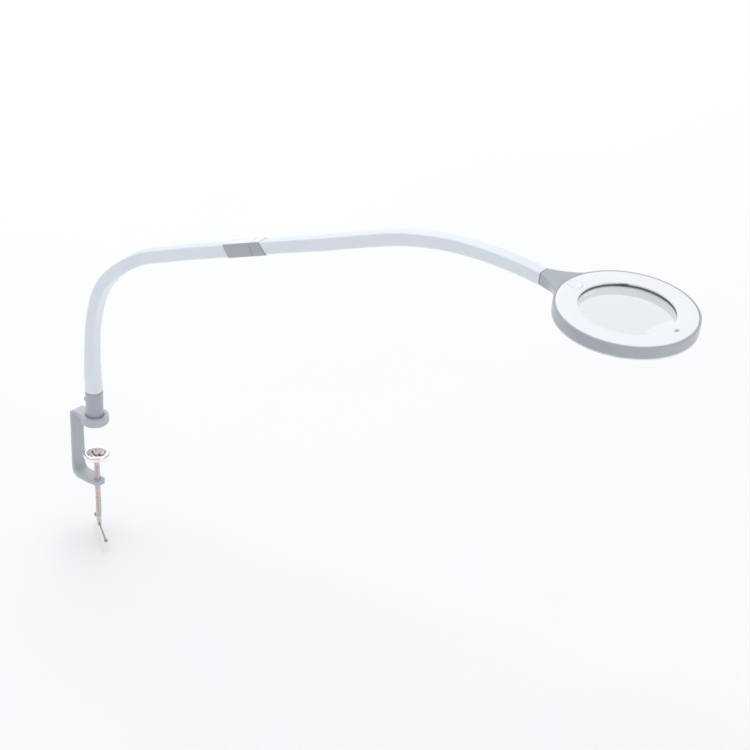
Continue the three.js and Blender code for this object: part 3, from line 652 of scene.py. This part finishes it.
# ---- clamp ----
def clamp_casting():
    """The bent strap, the lower jaw and the collar as one casting, bored for the bush and the screw."""
    half = STRAP_WIDTH / 2
    top, bottom = JAW_TOP, JAW_TOP - JAW_THICKNESS
    strap_inner, back_inner = STRAP_TOP - STRAP_THICKNESS, STRAP_BACK + STRAP_THICKNESS
    strap_outline = filleted([
        (-8, STRAP_TOP), (STRAP_BACK, STRAP_TOP, STRAP_TOP_BEND), (STRAP_BACK, bottom, STRAP_BOTTOM_BEND),
        (-16, bottom), (-16, top), (back_inner, top, STRAP_BOTTOM_BEND - JAW_THICKNESS),
        (back_inner, strap_inner, STRAP_TOP_BEND - STRAP_THICKNESS), (-8, strap_inner),
    ], steps=12)
    strap = slab("strap", strap_outline, -half, half, plane="XZ")
    jaw_outline = filleted([
        (-20, -half), (-14, -half, 4), (-1, -JAW_NOSE, 3), (JAW_NOSE, -JAW_NOSE, JAW_NOSE - 0.5),
        (JAW_NOSE, JAW_NOSE, JAW_NOSE - 0.5), (-1, JAW_NOSE, 3), (-14, half, 4), (-20, half),
    ], steps=12)
    jaw = slab("jaw", jaw_outline, bottom, top)
    web = slab("web", filleted([
        (-22, -half), (-6, -17, 5), (4, -17, 5), (4, 17, 5), (-6, 17, 5), (-22, half),
    ]), COLLAR_BOTTOM + 2.2, STRAP_TOP)
    low, high, radius, bore = COLLAR_BOTTOM, COLLAR_TOP, COLLAR_RADIUS, COLLAR_BORE
    collar = turned("collar", [
        (0, low), (radius - 1.8, low, 1), (radius, low + 2, 1.6), (radius, high, 0.5), (0, high),
    ])
    body = fuse("clamp_frame", [strap, jaw, web, collar], 0.62, 7)
    well = turned("well", [
        (0, COLLAR_FLOOR), (bore, COLLAR_FLOOR), (bore, high - 0.4), (bore + 1.1, high + 0.7),
        (0, high + 0.7),
    ], sides=128)
    face = plug(30, low - 2, low, sides=96)
    mouth, hole_radius = SCREW_RADIUS + 1.3, SCREW_RADIUS + GAP
    hole = turned("hole", [
        (0, bottom - 1), (mouth, bottom - 1), (hole_radius, bottom + 0.9), (hole_radius, top - 0.9),
        (mouth, top + 1), (0, top + 1),
    ], sides=48)
    cut(body, well, face, hole)
    body.data.transform(CLAMP_PLACE)
    finish(body, COAT, "clamp_paint", "clamp", "clamp_bracket")


def jaw_pad():
    """The rubber disc under the collar, ringed with grooves for grip."""
    profile = [(0, COLLAR_BOTTOM - GAP, 0), (15, COLLAR_BOTTOM - GAP, 0.3), (15, 0, 0.5)]
    groove = ((0.35, 0), (0.1, 0.45), (-0.1, 0.45), (-0.35, 0))
    for radius in (13.2, 11.2, 9.2, 7.2, 5.2, 3.2):
        profile += [(radius + out, height, 0) for out, height in groove]
    profile.append((0, 0, 0))
    pad = turned("jaw_pad", profile, CLAMP_PLACE)
    finish(pad, PAD_RUBBER, "jaw_pad", "clamp", "upper_jaw_pad")


def screw_shaft():
    """A rolled thread down to a plain end with a cross hole; the top is riveted over inside the dish."""
    sides, per_turn = 24, 6
    thread_low, thread_high = SCREW_EYE_TOP + 7, DISH_BOTTOM - 2.2
    root = SCREW_RADIUS - 0.32
    top = DISH_BOTTOM - GAP
    rings = [
        (SCREW_BOTTOM, SCREW_EYE_RADIUS - 1, 0), (SCREW_BOTTOM + 0.9, SCREW_EYE_RADIUS, 0),
        (SCREW_EYE_TOP - 1, SCREW_EYE_RADIUS, 0), (SCREW_EYE_TOP, root + 0.1, 0),
        (thread_low - 1.2, root + 0.1, 0),
    ]
    count = int((thread_high - thread_low) / THREAD_PITCH * per_turn)
    for k in range(count + 1):
        height = thread_low + (thread_high - thread_low) * k / count
        fade = min(1.0, (height - thread_low) / 2, (thread_high - height) / 2)
        rings.append((height, root, fade * (SCREW_RADIUS - root)))
    rings += [(top - 0.5, SCREW_RADIUS - 0.4, 0), (top, 3.4, 0)]
    verts = []
    for height, radius, ridge in rings:
        for k in range(sides):
            phase = (height / THREAD_PITCH - k / sides) % 1.0
            r = radius + ridge * clamped((1 - abs(2 * phase - 1)) * 1.5 - 0.25)
            angle = tau * k / sides
            verts.append((r * cos(angle), r * sin(angle), height))
    faces = skin_faces(0, len(rings), sides)
    faces += [list(range(sides))[::-1], list(range(len(verts) - sides, len(verts)))]
    shaft = build("shaft", verts, faces, sharp=28)
    cross = bar("cross", TOMMY_RADIUS + 0.35, -8, 8, TOMMY_TURN, TOMMY_HEIGHT, sides=24)
    cut(shaft, cross)
    head = turned("rivet", [
        (0, top - 0.6), (2.8, top - 0.6), (2.8, DISH_FLOOR + 0.25),
        (4.7, DISH_FLOOR + 0.25, 0.2), (4.2, DISH_FLOOR + 1.9, 0.9), (1.2, DISH_FLOOR + 2.4, 0.5),
        (0.9, DISH_FLOOR + 1.7, 0.2), (0, DISH_FLOOR + 1.6),
    ], sides=48)
    screw = joined("screw_shaft", [shaft, head])
    screw.data.transform(CLAMP_PLACE)
    finish(screw, NICKEL, "screw_steel", "screw", "clamp_screw")


def pad_dish():
    """The swivelling pad: a broad rolled rim about a shallow bowl."""
    profile = [
        (3.1, DISH_BOTTOM, 0.2), (7.6, DISH_BOTTOM, 0.6), (DISH_RADIUS - 3.2, DISH_RIM - 7.6, 2.5),
        (DISH_RADIUS, DISH_RIM - 6.2, 2.4), (DISH_RADIUS, DISH_RIM, 2.3),
        (DISH_RADIUS - 4.8, DISH_RIM, 1.4), (DISH_RADIUS - 6.8, DISH_RIM - 2.6, 1.2),
        (9.2, DISH_FLOOR + 2.6, 1.2), (6.8, DISH_FLOOR, 1.0), (3.1, DISH_FLOOR, 0.2),
    ]
    dish = turned("pad_dish", profile, CLAMP_PLACE, sides=144)
    finish(dish, CHROME, "chrome", "pad", "dished_pad")


def tommy():
    """The bar through the screw's eye, and a pressed knob on each of its ends."""
    far, near = TOMMY_ENDS
    rod = bar("tommy_rod", TOMMY_RADIUS, far - 0.7, near + 0.7, TOMMY_TURN, TOMMY_HEIGHT, CLAMP_PLACE)
    finish(rod, TOMMY_STEEL, "screw_steel", "tommy", "tommy_bar")
    for side, end in (("far", far), ("near", near)):
        side_sign = copysign(1, end)
        place = (
            CLAMP_PLACE @ moved(0, 0, TOMMY_HEIGHT) @ spun("Z", TOMMY_TURN)
            @ moved(end, 0, 0) @ spun("Y", side_sign * pi / 2)
        )
        knob = turned(f"tommy_end_{side}", [
            (0, 3.6), (1.6, 3.5, 0.9), (2.75, 1.8, 0.9), (2.75, -1.3, 0.8), (1.9, -3, 0.4),
            (1.45, -3, 0.2), (1.45, 1), (0, 1),
        ], place, sides=40)
        finish(knob, TOMMY_STEEL, "screw_steel", "tommy", f"tommy_knob_{side}")


# ---- arm ----
def hex_socket(radius, depth, top, place):
    """A six-sided hole's cutter, about Z."""
    outline = [(radius * cos(tau * k / 6), radius * sin(tau * k / 6)) for k in range(6)]
    return slab("hex", outline, top - depth, top + 1, place)


def grub(name, radius, inner, outer, place, body, node):
    """A set screw with a hexagon socket in its outer end."""
    screw = turned(name, [
        (0, inner), (radius * 0.6, inner, 0.2), (radius, inner + 0.8, 0.2), (radius, outer, 0.35),
        (0, outer),
    ], place, sides=40)
    cut(screw, hex_socket(radius * 0.56, 1.5, outer, place))
    finish(screw, STEEL, "small_screws", body, node)


def ferrule():
    """The turned socket at the arm's foot, with the power inlet in its back and a set screw in its side."""
    radius, top, inlet = FERRULE_RADIUS, FERRULE_TOP, INLET_RADIUS
    barrel = turned("ferrule_barrel", [
        (4.5, FERRULE_BOTTOM, 0.4), (radius - 0.7, FERRULE_BOTTOM, 0.6), (radius - 0.7, COLLAR_TOP),
        (radius, top - 2), (radius, top, 0.9), (SOCKET_BORE, top, 0.4), (SOCKET_BORE, top - 10.5),
        (4.5, top - 10.5),
    ], sides=128)
    west = moved(0, 0, INLET_HEIGHT) @ spun("Y", -pi / 2)
    side = moved(0, 0, GRUB_HEIGHT) @ spun("X", -pi / 2)
    tapped = turned("tapped", [
        (0, 4), (2.2, 4), (2.2, radius - 1.1), (2.9, radius + 0.1), (0, 15),
    ], side, sides=40)
    cut(barrel, plug(inlet + GAP, 7, 18, west), plug(1.6, 2, 12, west, sides=24), tapped)
    finish(barrel, GREY, "grey_plastic", "arm_base", "arm_ferrule")
    grub("ferrule_grub", 2.0, 5.8, radius - 0.7, side, "arm_base", "ferrule_set_screw")

    shell = turned("inlet_shell", [
        (0, 9.5), (2.5, 9.5), (2.5, 17.5, 0.35), (inlet, 17.5, 0.6), (inlet, 7.3, 0.2), (0, 7.3),
    ], west, sides=64)
    nut = turned("inlet_nut", [
        (inlet + 0.05, 12.9, 0.2), (inlet + 1, 12.9, 0.3), (inlet + 1, 14.1, 0.5), (inlet + 0.05, 14.1, 0.2),
    ], west, sides=64)
    pin = turned("inlet_pin", [(0, 9.3), (0.75, 9.3), (0.75, 16.4, 0.5), (0, 16.4)], west, sides=24)
    finish(joined("power_inlet", [shell, nut]), GREY, "inlet_plastic", "arm_base", "dc_inlet")
    finish(pin, STEEL, "small_screws", "arm_base")


def sleeve_section(distance):
    """Half width and corner radius: a square that turns round where it stands on the ferrule."""
    foot_radius, foot_length = SLEEVE_FOOT
    foot = 1 - smoothstep((distance - FERRULE_TOP + ARM_POINTS[0][1]) / foot_length)
    crisp = smoothstep((distance - SLEEVE_CRISP[0]) / (SLEEVE_CRISP[1] - SLEEVE_CRISP[0]))
    corner = SLEEVE_LOW_CORNER + (SLEEVE_CORNER - SLEEVE_LOW_CORNER) * crisp
    return SLEEVE_HALF + (foot_radius - SLEEVE_HALF) * foot, corner + (foot_radius - corner) * foot


def slanted_rings(start, end, slants, stops, section_at):
    """Rings of the arm along a stretch; section_at gives half width and corner radius by distance."""
    rings = []
    for distance, draw in stops:
        half, corner = section_at(distance)
        share = (distance - start) / (end - start)
        slant = slants[0] + (slants[1] - slants[0]) * share
        rings.append(arm_ring(distance, half - draw, corner - draw, slant))
    return rings


def sleeve_piece(name, start, end, round_start, round_end, *slants):
    """A stretch of the arm's square sleeve, about a round bore."""
    stops = lip_stops(start, end, 1.6, 0.5, round_start, round_end)
    rings = slanted_rings(start, end, slants, stops, sleeve_section)
    bare = [(distance, 0.0) for distance, _ in stops]
    bore = slanted_rings(start, end, slants, bare, lambda _: (CORE_BORE, CORE_BORE))
    return lofted(name, rings, bore=bore)


def sleeves():
    """Each flexible stretch in pieces that meet midway between bending stations."""
    ends = {
        "lower": (FERRULE_TOP - ARM_POINTS[0][1] + 0.2, LOWER_JOINTS, COUPLING_START - 0.2),
        "upper": (COUPLING_END + END_GAP, UPPER_JOINTS, ARM.length - 0.5),
    }
    for part, (start, joints, end) in ends.items():
        middles = [(a + b) / 2 for a, b in zip(joints, joints[1:])]
        stops = [start] + middles + [end]
        for i, joint in enumerate(joints):
            first, last = i == 0, i == len(joints) - 1
            skin = sleeve_piece(
                f"{part}_skin_{i + 1}", stops[i], stops[i + 1], first, last,
                END_SLANT if part == "upper" and first else 0.0,
                START_SLANT if part == "lower" and last else 0.0,
            )
            nodes = [f"{part}_sleeve_{i + 1}"] + ([f"{part}_sleeve_{i + 2}"] if last else [])
            finish(skin, SLEEVE, "sleeve", None, *nodes)
            p, t = ARM.point(joint), ARM.direction(joint)
            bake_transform(skin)


def cap_bed(start, end):
    """A cutter for the shallow bed along the coupling's top that a white strip lies in."""
    width, above = CAP_HALF + 0.2, 12
    outline = [(-CAP_SEAT, -width), (-CAP_SEAT, width), (-above, width), (-above, -width)]
    return slab("bed", outline, (start - end) / 2, (end - start) / 2, ARM.place((start + end) / 2))


def cap_strip(name, start, end, body, node):
    """A white strip that lies on the coupling's top, its upper edges softened."""
    low, high = CAP_SEAT + 0.2, COUPLING_HALF + 0.1
    insets, heights = (0.0, 0.0, 0.15, 0.5), (low, high - 0.5, high - 0.15, high)
    outlines = [tile(CAP_HALF - inset, (end - start) / 2 - inset, 0.8, 4) for inset in insets]
    lie = ARM.place((start + end) / 2) @ Matrix(((0, 0, -1, 0), (1, 0, 0, 0), (0, 1, 0, 0), (0, 0, 0, 1)))
    finish(pillow(name, outlines, heights, lie), WHITE, "white_cover", body, node)


def coupling():
    """Two square sockets with softened edges that meet at the twisting joint."""
    def shell(name, start, end, *slants):
        stops = lip_stops(start, end, 2, 0.6, True, True)
        rings = slanted_rings(start, end, slants, stops, lambda _: (COUPLING_HALF, SLEEVE_CORNER))
        return lofted(name, rings)

    start, middle, end = COUPLING_START, COUPLING_SEAM, COUPLING_END
    resume = middle + SEAM_GAP
    seam = ARM.place(middle)
    left = shell("coupling_left", start, middle, START_SLANT, 0.0)
    cut(left, plug(SOCKET_BORE, -6, 9.3, ARM.place(start)), cap_bed(start - 7, middle + 3))
    spigot = turned("spigot", [
        (0, -4), (6, -4), (6, 3, 0.2), (4.8, 3.6, 0.2), (4.8, 5.6, 0.2), (6, 6.2, 0.2), (6, 8, 0.4), (0, 8),
    ], seam, sides=48)
    finish(joined("coupling_left", [left, spigot]), GREY, "grey_plastic", "lower_arm_4", "coupling_lower")

    right = shell("coupling_right", resume, end, 0.0, END_SLANT)
    spigot_bore = plug(6 + GAP, -1, 8.3, seam)
    core_bore = plug(SOCKET_BORE, -6.5, 6, ARM.place(end))
    below = seam @ moved(0, 0, 4.6) @ spun("Y", pi / 2)
    tapped = turned("tapped", [
        (0, 4), (1.75, 4), (1.75, COUPLING_HALF - 0.6), (2.4, COUPLING_HALF + 0.3), (0, 12),
    ], below, sides=32)
    cut(right, spigot_bore, core_bore, tapped, cap_bed(middle - 3, end + 3))
    finish(right, GREY, "grey_plastic", "upper_arm_1", "coupling_upper")
    height = (CAP_SEAT + COUPLING_HALF) / 2
    cap_strip("coupling_strip_left", start - height * START_SLANT + 0.4, middle - 0.3, "lower_arm_4",
              "coupling_cap_1")
    cap_strip("coupling_strip_right", resume + 0.3, end - height * END_SLANT - 0.3, "upper_arm_1",
              "coupling_cap_2")
    grub("coupling_grub", 1.5, 5.3, COUPLING_HALF - 0.5, below, "upper_arm_1", "coupling_set_screw")


# ---- head ----
WALL_INNER = COVER_RADIUS + GAP
NECK_BOTTOM = -18.4
NECK_FLARE = (-HOUSING_RADIUS + 6, 35.0)
NECK_BEND = (NECK_END + 24, 19.5)
NECK_LEAN = 0.32
NECK_LEAN_LENGTH = 22.0
NECK_LEAN_END = -88.0
SOCKET_AT = NECK_END + 7
SCREW_CIRCLE = 80.0
COVER_SCREWS = [radians(a) for a in (60, 145, 300)]
LED_COUNT = 36
LED_CIRCLE = 84.0
LENS_EDGE = 67.0
DIFFUSER_BOTTOM = -19.2


def on_head(x):
    return HEAD_PLACE @ moved(x, 0, 0)


def on_ring(radius, angle):
    return HEAD_PLACE @ spun("Z", angle) @ moved(radius, 0, 0)


def screw_holes(radius, low, high):
    """Cutters at the three cover screws."""
    return [plug(radius, low, high, on_ring(SCREW_CIRCLE, a), sides=24) for a in COVER_SCREWS]


def head_outline():
    """The housing's plan from one corner of the neck's end round to the other, with the share of each
    point that belongs to the neck: 1 at its end, 0 on the ring."""
    half = SLEEVE_HALF + 0.2
    flare_angle = atan2(NECK_FLARE[1], NECK_FLARE[0])
    flare_steps, sides = 30, 180
    flare = []
    for k in range(flare_steps + 1):
        t = k / flare_steps
        x = NECK_END * (1 - t) ** 2 + 2 * NECK_BEND[0] * t * (1 - t) + NECK_FLARE[0] * t * t
        y = half * (1 - t) ** 2 + 2 * NECK_BEND[1] * t * (1 - t) + NECK_FLARE[1] * t * t
        flare.append((x, y, 1 - smoothstep(t)))
    angles = [flare_angle - 2 * flare_angle * k / sides for k in range(1, sides)]
    ring = [(HOUSING_RADIUS * cos(a), HOUSING_RADIUS * sin(a), 0.0) for a in angles]
    return flare + ring + [(x, -y, share) for x, y, share in reversed(flare)]


def outward(outline):
    """The outline's outward directions; the neck's end is left flat."""
    normals = []
    for before, after in zip(outline, outline[2:]):
        along = (Vector(after[:2]) - Vector(before[:2])).normalized()
        normals.append(Vector((-along.y, along.x)))
    if normals[len(outline) // 2 - 1].x < 0:
        normals = [-n for n in normals]
    ends = [Vector((0, copysign(1, outline[i][1]))) for i in (0, -1)]
    return [ends[0]] + normals + [ends[1]]


def housing():
    """The ring with its flared neck: an outer skin of levels, then the well that the inside parts sit in."""
    outline = head_outline()
    normals = outward(outline)

    def level(inset_ring, inset_neck, height_ring, height_neck):
        ring = []
        for (x, y, share), n in zip(outline, normals):
            inset = inset_ring + (inset_neck - inset_ring) * share
            height = height_ring + (height_neck - height_ring) * share
            p = Vector((x, y)) - n * inset
            low = clamped((-height - 2) / 16)
            along = clamped((x - NECK_END) / NECK_LEAN_LENGTH)
            lean = NECK_LEAN * along * low * smoothstep((NECK_LEAN_END - x) / 12)
            ring.append((p.x, p.y * (1 - lean), height))
        return ring

    steps = 6
    quarter = [pi / 2 * k / steps for k in range(steps + 1)]
    crest_ring, crest_neck = 1.3, 1.5
    foot_ring, foot_neck = 0.7, 2.4
    low_ring, low_neck = -13.6, -14.2
    rings = [
        level(crest_ring * (1 - sin(a)), crest_neck * (1 - sin(a)),
              -0.2 - crest_ring * (1 - cos(a)), -0.3 - crest_neck * (1 - cos(a)))
        for a in quarter
    ]
    rings += [
        level(0, 0, -1.5 + (low_ring + 1.5) * k / steps, -2.5 + (low_neck + 2.5) * k / steps)
        for k in range(1, steps)
    ]
    rings += [
        level(foot_ring * (1 - cos(a)), foot_neck * (1 - cos(a)),
              low_ring + (HOUSING_BOTTOM - low_ring) * sin(a),
              low_neck + (NECK_BOTTOM - low_neck) * sin(a))
        for a in quarter
    ]
    angles = [atan2(y, x) for x, y, _ in outline]
    web_hole, web_bottom = 66.8, WEB_TOP - 1.6
    for radius, height in (
        (WALL_INNER, HOUSING_BOTTOM), (WALL_INNER, web_bottom), (web_hole, web_bottom), (web_hole, WEB_TOP),
        (WALL_INNER, WEB_TOP), (WALL_INNER, -0.6), (WALL_INNER + 0.35, -0.2),
    ):
        rings.append([(radius * cos(a), radius * sin(a), height) for a in angles])
    verts = [p for ring in rings for p in ring]
    count = len(outline)
    faces = skin_faces(0, len(rings), count)
    last = (len(rings) - 1) * count
    faces += [[last + k, last + (k + 1) % count, (k + 1) % count, k] for k in range(count)]
    shell = build("ring_housing", verts, faces, HEAD_PLACE, sharp=30)

    core = moved(0, 0, NECK_MID) @ spun("Y", pi / 2)
    bore = plug(CORE_BORE, NECK_END - 2, NECK_END + 14, HEAD_PLACE @ core)
    tapped = turned("tapped", [
        (0, NECK_BOTTOM - 1), (3.4, NECK_BOTTOM - 1), (2.3, NECK_BOTTOM + 0.7), (2.3, NECK_MID),
        (0, NECK_MID),
    ], on_head(SOCKET_AT), sides=40)
    cut(shell, bore, tapped, *screw_holes(1.9, -11, -7))
    finish(shell, GREY, "grey_plastic", "head", "head_housing")
    under = on_head(SOCKET_AT) @ spun("X", pi)
    grub("neck_grub", 2.0, -NECK_MID + 6.3, -NECK_BOTTOM - 0.6, under, "head", "neck_set_screw")


def cover():
    """The white ring plate with its bosses, the dished power key and the indicator's oval window."""
    plate = turned("top_cover", [
        (HOLE_RADIUS + 0.6, -2.4, 0.2), (COVER_RADIUS, -2.4, 0.2), (COVER_RADIUS, 0, 1.1),
        (HOLE_RADIUS, 0, 1.3), (HOLE_RADIUS, -1.9, 0.3),
    ], HEAD_PLACE, sides=240)
    bosses = [
        turned("boss", [(1.6, -7.7, 0.1), (3.2, -7.7, 0.3), (3.2, -2.0), (1.6, -2.0)],
               on_ring(SCREW_CIRCLE, a), sides=40)
        for a in COVER_SCREWS
    ]
    near, wide = BUTTON_RADIUS + 0.35, BUTTON_RADIUS + 0.95
    well = turned("well", [
        (0, -4), (near, -4), (near, -0.45), (wide, 0.15), (wide, 1), (0, 1),
    ], on_head(BUTTON_AT), sides=96)
    slot = pillow("slot", [stadium(8.5, 4.5), stadium(8.5, 4.5), stadium(9.1, 5.1)], [-4, -0.25, 0.3],
                  on_head(INDICATOR_AT))
    notch = slab("notch", tile(1.7, 8.4, 0.6), -4, -1.3, on_ring(HOLE_RADIUS + 1.4, CATCH_ANGLE))
    cut(plate, well, slot, notch)
    finish(joined("top_cover", [plate] + bosses), WHITE, "white_cover", "head", "head_cover")

    key = turned("power_key", [
        (0, -4.2), (3, -4.2, 0.3), (3, -1.9), (BUTTON_RADIUS, -1.9, 0.2), (BUTTON_RADIUS, 0.25, 0.6),
        (7.4, 0.28, 1.0), (5.4, 0.0, 2.0), (0, -0.12),
    ], on_head(BUTTON_AT), sides=128, sharp=40)
    finish(key, WHITE, "white_cover", "button", "power_button")

    lamp = pillow("indicator_lamp", [
        stadium(7.6, 3.6), stadium(8, 4), stadium(8, 4), stadium(7.7, 3.7), stadium(7.0, 3.0),
    ], [-1.9, -1.7, -0.15, 0.05, 0.12], on_head(INDICATOR_AT))
    finish(lamp, INDICATOR, "indicator", "head", "indicator_window")


def lens_and_seat():
    """The clear lens in a rubber channel, and the ribbed catch that holds it under the cover's rim."""
    seat = turned("lens_seat", [
        (64.2, -2.5, 0.2), (68.6, -2.5, 0.1), (68.6, -6.4, 0.1), (64.2, -6.4, 0.2), (64.2, -5.8, 0.1),
        (67.3, -5.8), (67.3, -3.1), (64.2, -3.1, 0.1),
    ], HEAD_PLACE, sides=192)
    catch = on_ring(HOLE_RADIUS + 1.5, CATCH_ANGLE)
    tab = slab("tab", tile(1.2, 7.6, 1), -3.2, -1.5, catch)
    ribs = [slab("rib", tile(0.9, 0.45, 0.2, y=y), -1.6, -1.35, catch) for y in (-6, -3, 0, 3, 6)]
    finish(seat, SEAT_RUBBER, "gasket", "head", "lens_gasket")
    finish(joined("seat_tab", [tab] + ribs), RUBBER, "gasket", "head")

    steps = 24
    radii = [LENS_EDGE * (k + 1) / steps for k in range(steps)]
    upper = [(r, -4 + 3 * (1 - (r / LENS_EDGE) ** 2), 0) for r in radii]
    lower = [(r, -4.9 - 6 * (1 - (r / LENS_EDGE) ** 2), 0) for r in reversed(radii)]
    glass = turned("lens_glass", [(0, -1)] + upper + lower + [(0, -10.9, 0)], HEAD_PLACE, sides=128,
                   sharp=50)
    finish(glass, LENS, "lens_glass", "head", "lens")


def light_parts():
    """The hole's white wall, the light board with its lamps, the frosted ring and the cover's screws."""
    wall = turned("inner_wall", [
        (64.0, -18.6, 0.5), (66.4, -18.6, 0.4), (66.4, -6.7, 0.2), (64.6, -6.7, 0.4), (64.0, -8.2, 0.4),
    ], HEAD_PLACE, sides=192)
    finish(wall, WHITE, "white_cover", "head", "inner_reflector")

    top, bottom = -10.2, -11.4
    board = turned("led_strip_board", [
        (70, bottom, 0.1), (89.5, bottom, 0.1), (89.5, top, 0.1), (70, top, 0.1),
    ], HEAD_PLACE, sides=180)
    cut(board, *screw_holes(3.2, -14, -9))
    lamps, chips = [], []
    for i in range(LED_COUNT):
        place = on_ring(LED_CIRCLE, tau * i / LED_COUNT)
        lamps.append(pillow("led", [tile(1.75, 1.4), tile(1.75, 1.4), tile(1.55, 1.2)],
                            [-11.35, -12.0, -12.25], place))
        chips.append(slab("chip", tile(1.1, 0.9, 0.4, 3), -12.35, -12.2, place))
    finish(joined("led_strip_board", [board] + lamps), BOARD, "board", "head", "led_board")
    finish(joined("led_phosphor", chips), PHOSPHOR, "board", "head")

    outer, lip, seat = HOUSING_RADIUS - 0.4, WALL_INNER - 0.5, HOUSING_BOTTOM - GAP
    ring = turned("diffuser", [
        (66.8, DIFFUSER_BOTTOM, 0.5), (outer, DIFFUSER_BOTTOM, 0.9), (outer, seat, 0.3), (lip, seat),
        (lip, -14.5, 0.2), (lip - 1.3, -14.5, 0.2), (lip - 1.3, seat), (66.8, seat, 0.3),
    ], HEAD_PLACE, sides=240)
    finish(ring, FROST, "diffuser", "head", "diffuser_ring")

    for i, angle in enumerate(COVER_SCREWS):
        place = on_ring(SCREW_CIRCLE, angle)
        screw = turned(f"cover_fixing_{i + 1}", [
            (0, -11.6), (2.3, -11.6, 0.5), (2.8, -9.9, 0.2), (1.3, -9.9, 0.1), (1.3, -4.6, 0.1),
            (0, -3.8),
        ], place, sides=40)
        cross = [
            slab("cross", tile(1.5, 0.28), -12.5, -10.7, place @ spun("Z", turn))
            for turn in (0.4, 0.4 + pi / 2)
        ]
        cut(screw, *cross)
        finish(screw, STEEL, "small_screws", "head", f"cover_screw_{i + 1}")


# ---- the CAD nodes that stay in view ----
clamp_casting()
jaw_pad()
screw_shaft()
pad_dish()
tommy()
ferrule()
sleeves()
coupling()
housing()
cover()
lens_and_seat()
light_parts()

for node, material in (("swivel_bush", NYLON), ("thrust_washer", NYLON), ("driver_board", BOARD)):
    paint(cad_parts[node], material)
for part, links in (("lower", 4), ("upper", 5)):
    for link in range(links):
        paint(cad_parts[f"{part}_core_{link + 1}"], STEEL)


# ---- floor, light and camera ----
HORIZON, ZENITH = 0.42, 0.72
SUN_STRENGTH, SUN_SPREAD = 1.1, radians(50)
SUN_WAY = (0.24, -0.2, -1)
PANELS = (
    ("panel_behind", (-1.85, 2.4, 1.75), 2.4, 14.0),
    ("panel_left", (-2.4, -0.9, 0.8), 1.6, 3.0),
    ("panel_right", (3.2, -0.2, 0.9), 1.6, 5.5),
)
PANELS_FACE = (0.3, 0, 0.1)
CAMERA_PLACE = (3345.46, -3662.29, 2827.68)
CAMERA_TARGET = (512.99, 0, 254.04)
FOCAL_LENGTH = 188.44
FLOOR_DROP = 0.012
FLOOR_REACH = 30.0


def facing(direction):
    """The rotation that turns a lamp or a camera to look along a direction."""
    return direction.to_track_quat("-Z", "Y").to_euler()


def floor():
    mesh = bpy.data.meshes.new("floor")
    reach, level = FLOOR_REACH, SCREW_BOTTOM * MM - FLOOR_DROP
    corners = [(-reach, -reach, level), (reach, -reach, level), (reach, reach, level), (-reach, reach, level)]
    mesh.from_pydata(corners, [], [(0, 1, 2, 3)])
    s = Surface("floor_white", (0.955, 0.955, 0.958), 0.9)
    s.vary_colour(s.noise(3, 3), (0.94, 0.94, 0.943), 0.5)
    s.vary_roughness(s.noise(8, 2), 0.04)
    mesh.materials.append(s.material)
    shown("floor", mesh)


def studio():
    """A pale tent, brighter overhead, with a wide soft light above and panels behind, left and right."""
    world = bpy.data.worlds.new("studio")
    world.use_nodes = True
    tree = world.node_tree
    background = tree.nodes["Background"]
    background.inputs["Color"].default_value = (0.94, 0.965, 1.0, 1)
    split = add_node(tree, "SeparateXYZ")
    height = add_node(tree, "MapRange", To_Min=HORIZON, To_Max=ZENITH)
    tree.links.new(add_node(tree, "TexCoord").outputs["Generated"], split.inputs[0])
    tree.links.new(split.outputs["Z"], height.inputs["Value"])
    tree.links.new(height.outputs["Result"], background.inputs["Strength"])
    bpy.context.scene.world = world

    sun = bpy.data.lights.new("key", "SUN")
    sun.energy = SUN_STRENGTH
    sun.angle = SUN_SPREAD
    above = shown("key", sun)
    above.rotation_euler = facing(Vector(SUN_WAY))

    for name, place, size, power in PANELS:
        panel = bpy.data.lights.new(name, "AREA")
        panel.shape = "DISK"
        panel.size = size
        panel.energy = power
        obj = shown(name, panel)
        obj.location = place
        obj.rotation_euler = facing(Vector(PANELS_FACE) - obj.location)


def camera():
    data = bpy.data.cameras.new("camera")
    data.sensor_width = 36
    data.lens = FOCAL_LENGTH
    data.clip_start = 0.1
    data.clip_end = 100
    obj = shown("camera", data)
    place, target = Vector(CAMERA_PLACE) * MM, Vector(CAMERA_TARGET) * MM
    obj.location = place
    obj.rotation_euler = facing(target - place)
    bpy.context.scene.camera = obj


floor()
studio()
camera()
bpy.context.scene.view_settings.view_transform = "Standard"
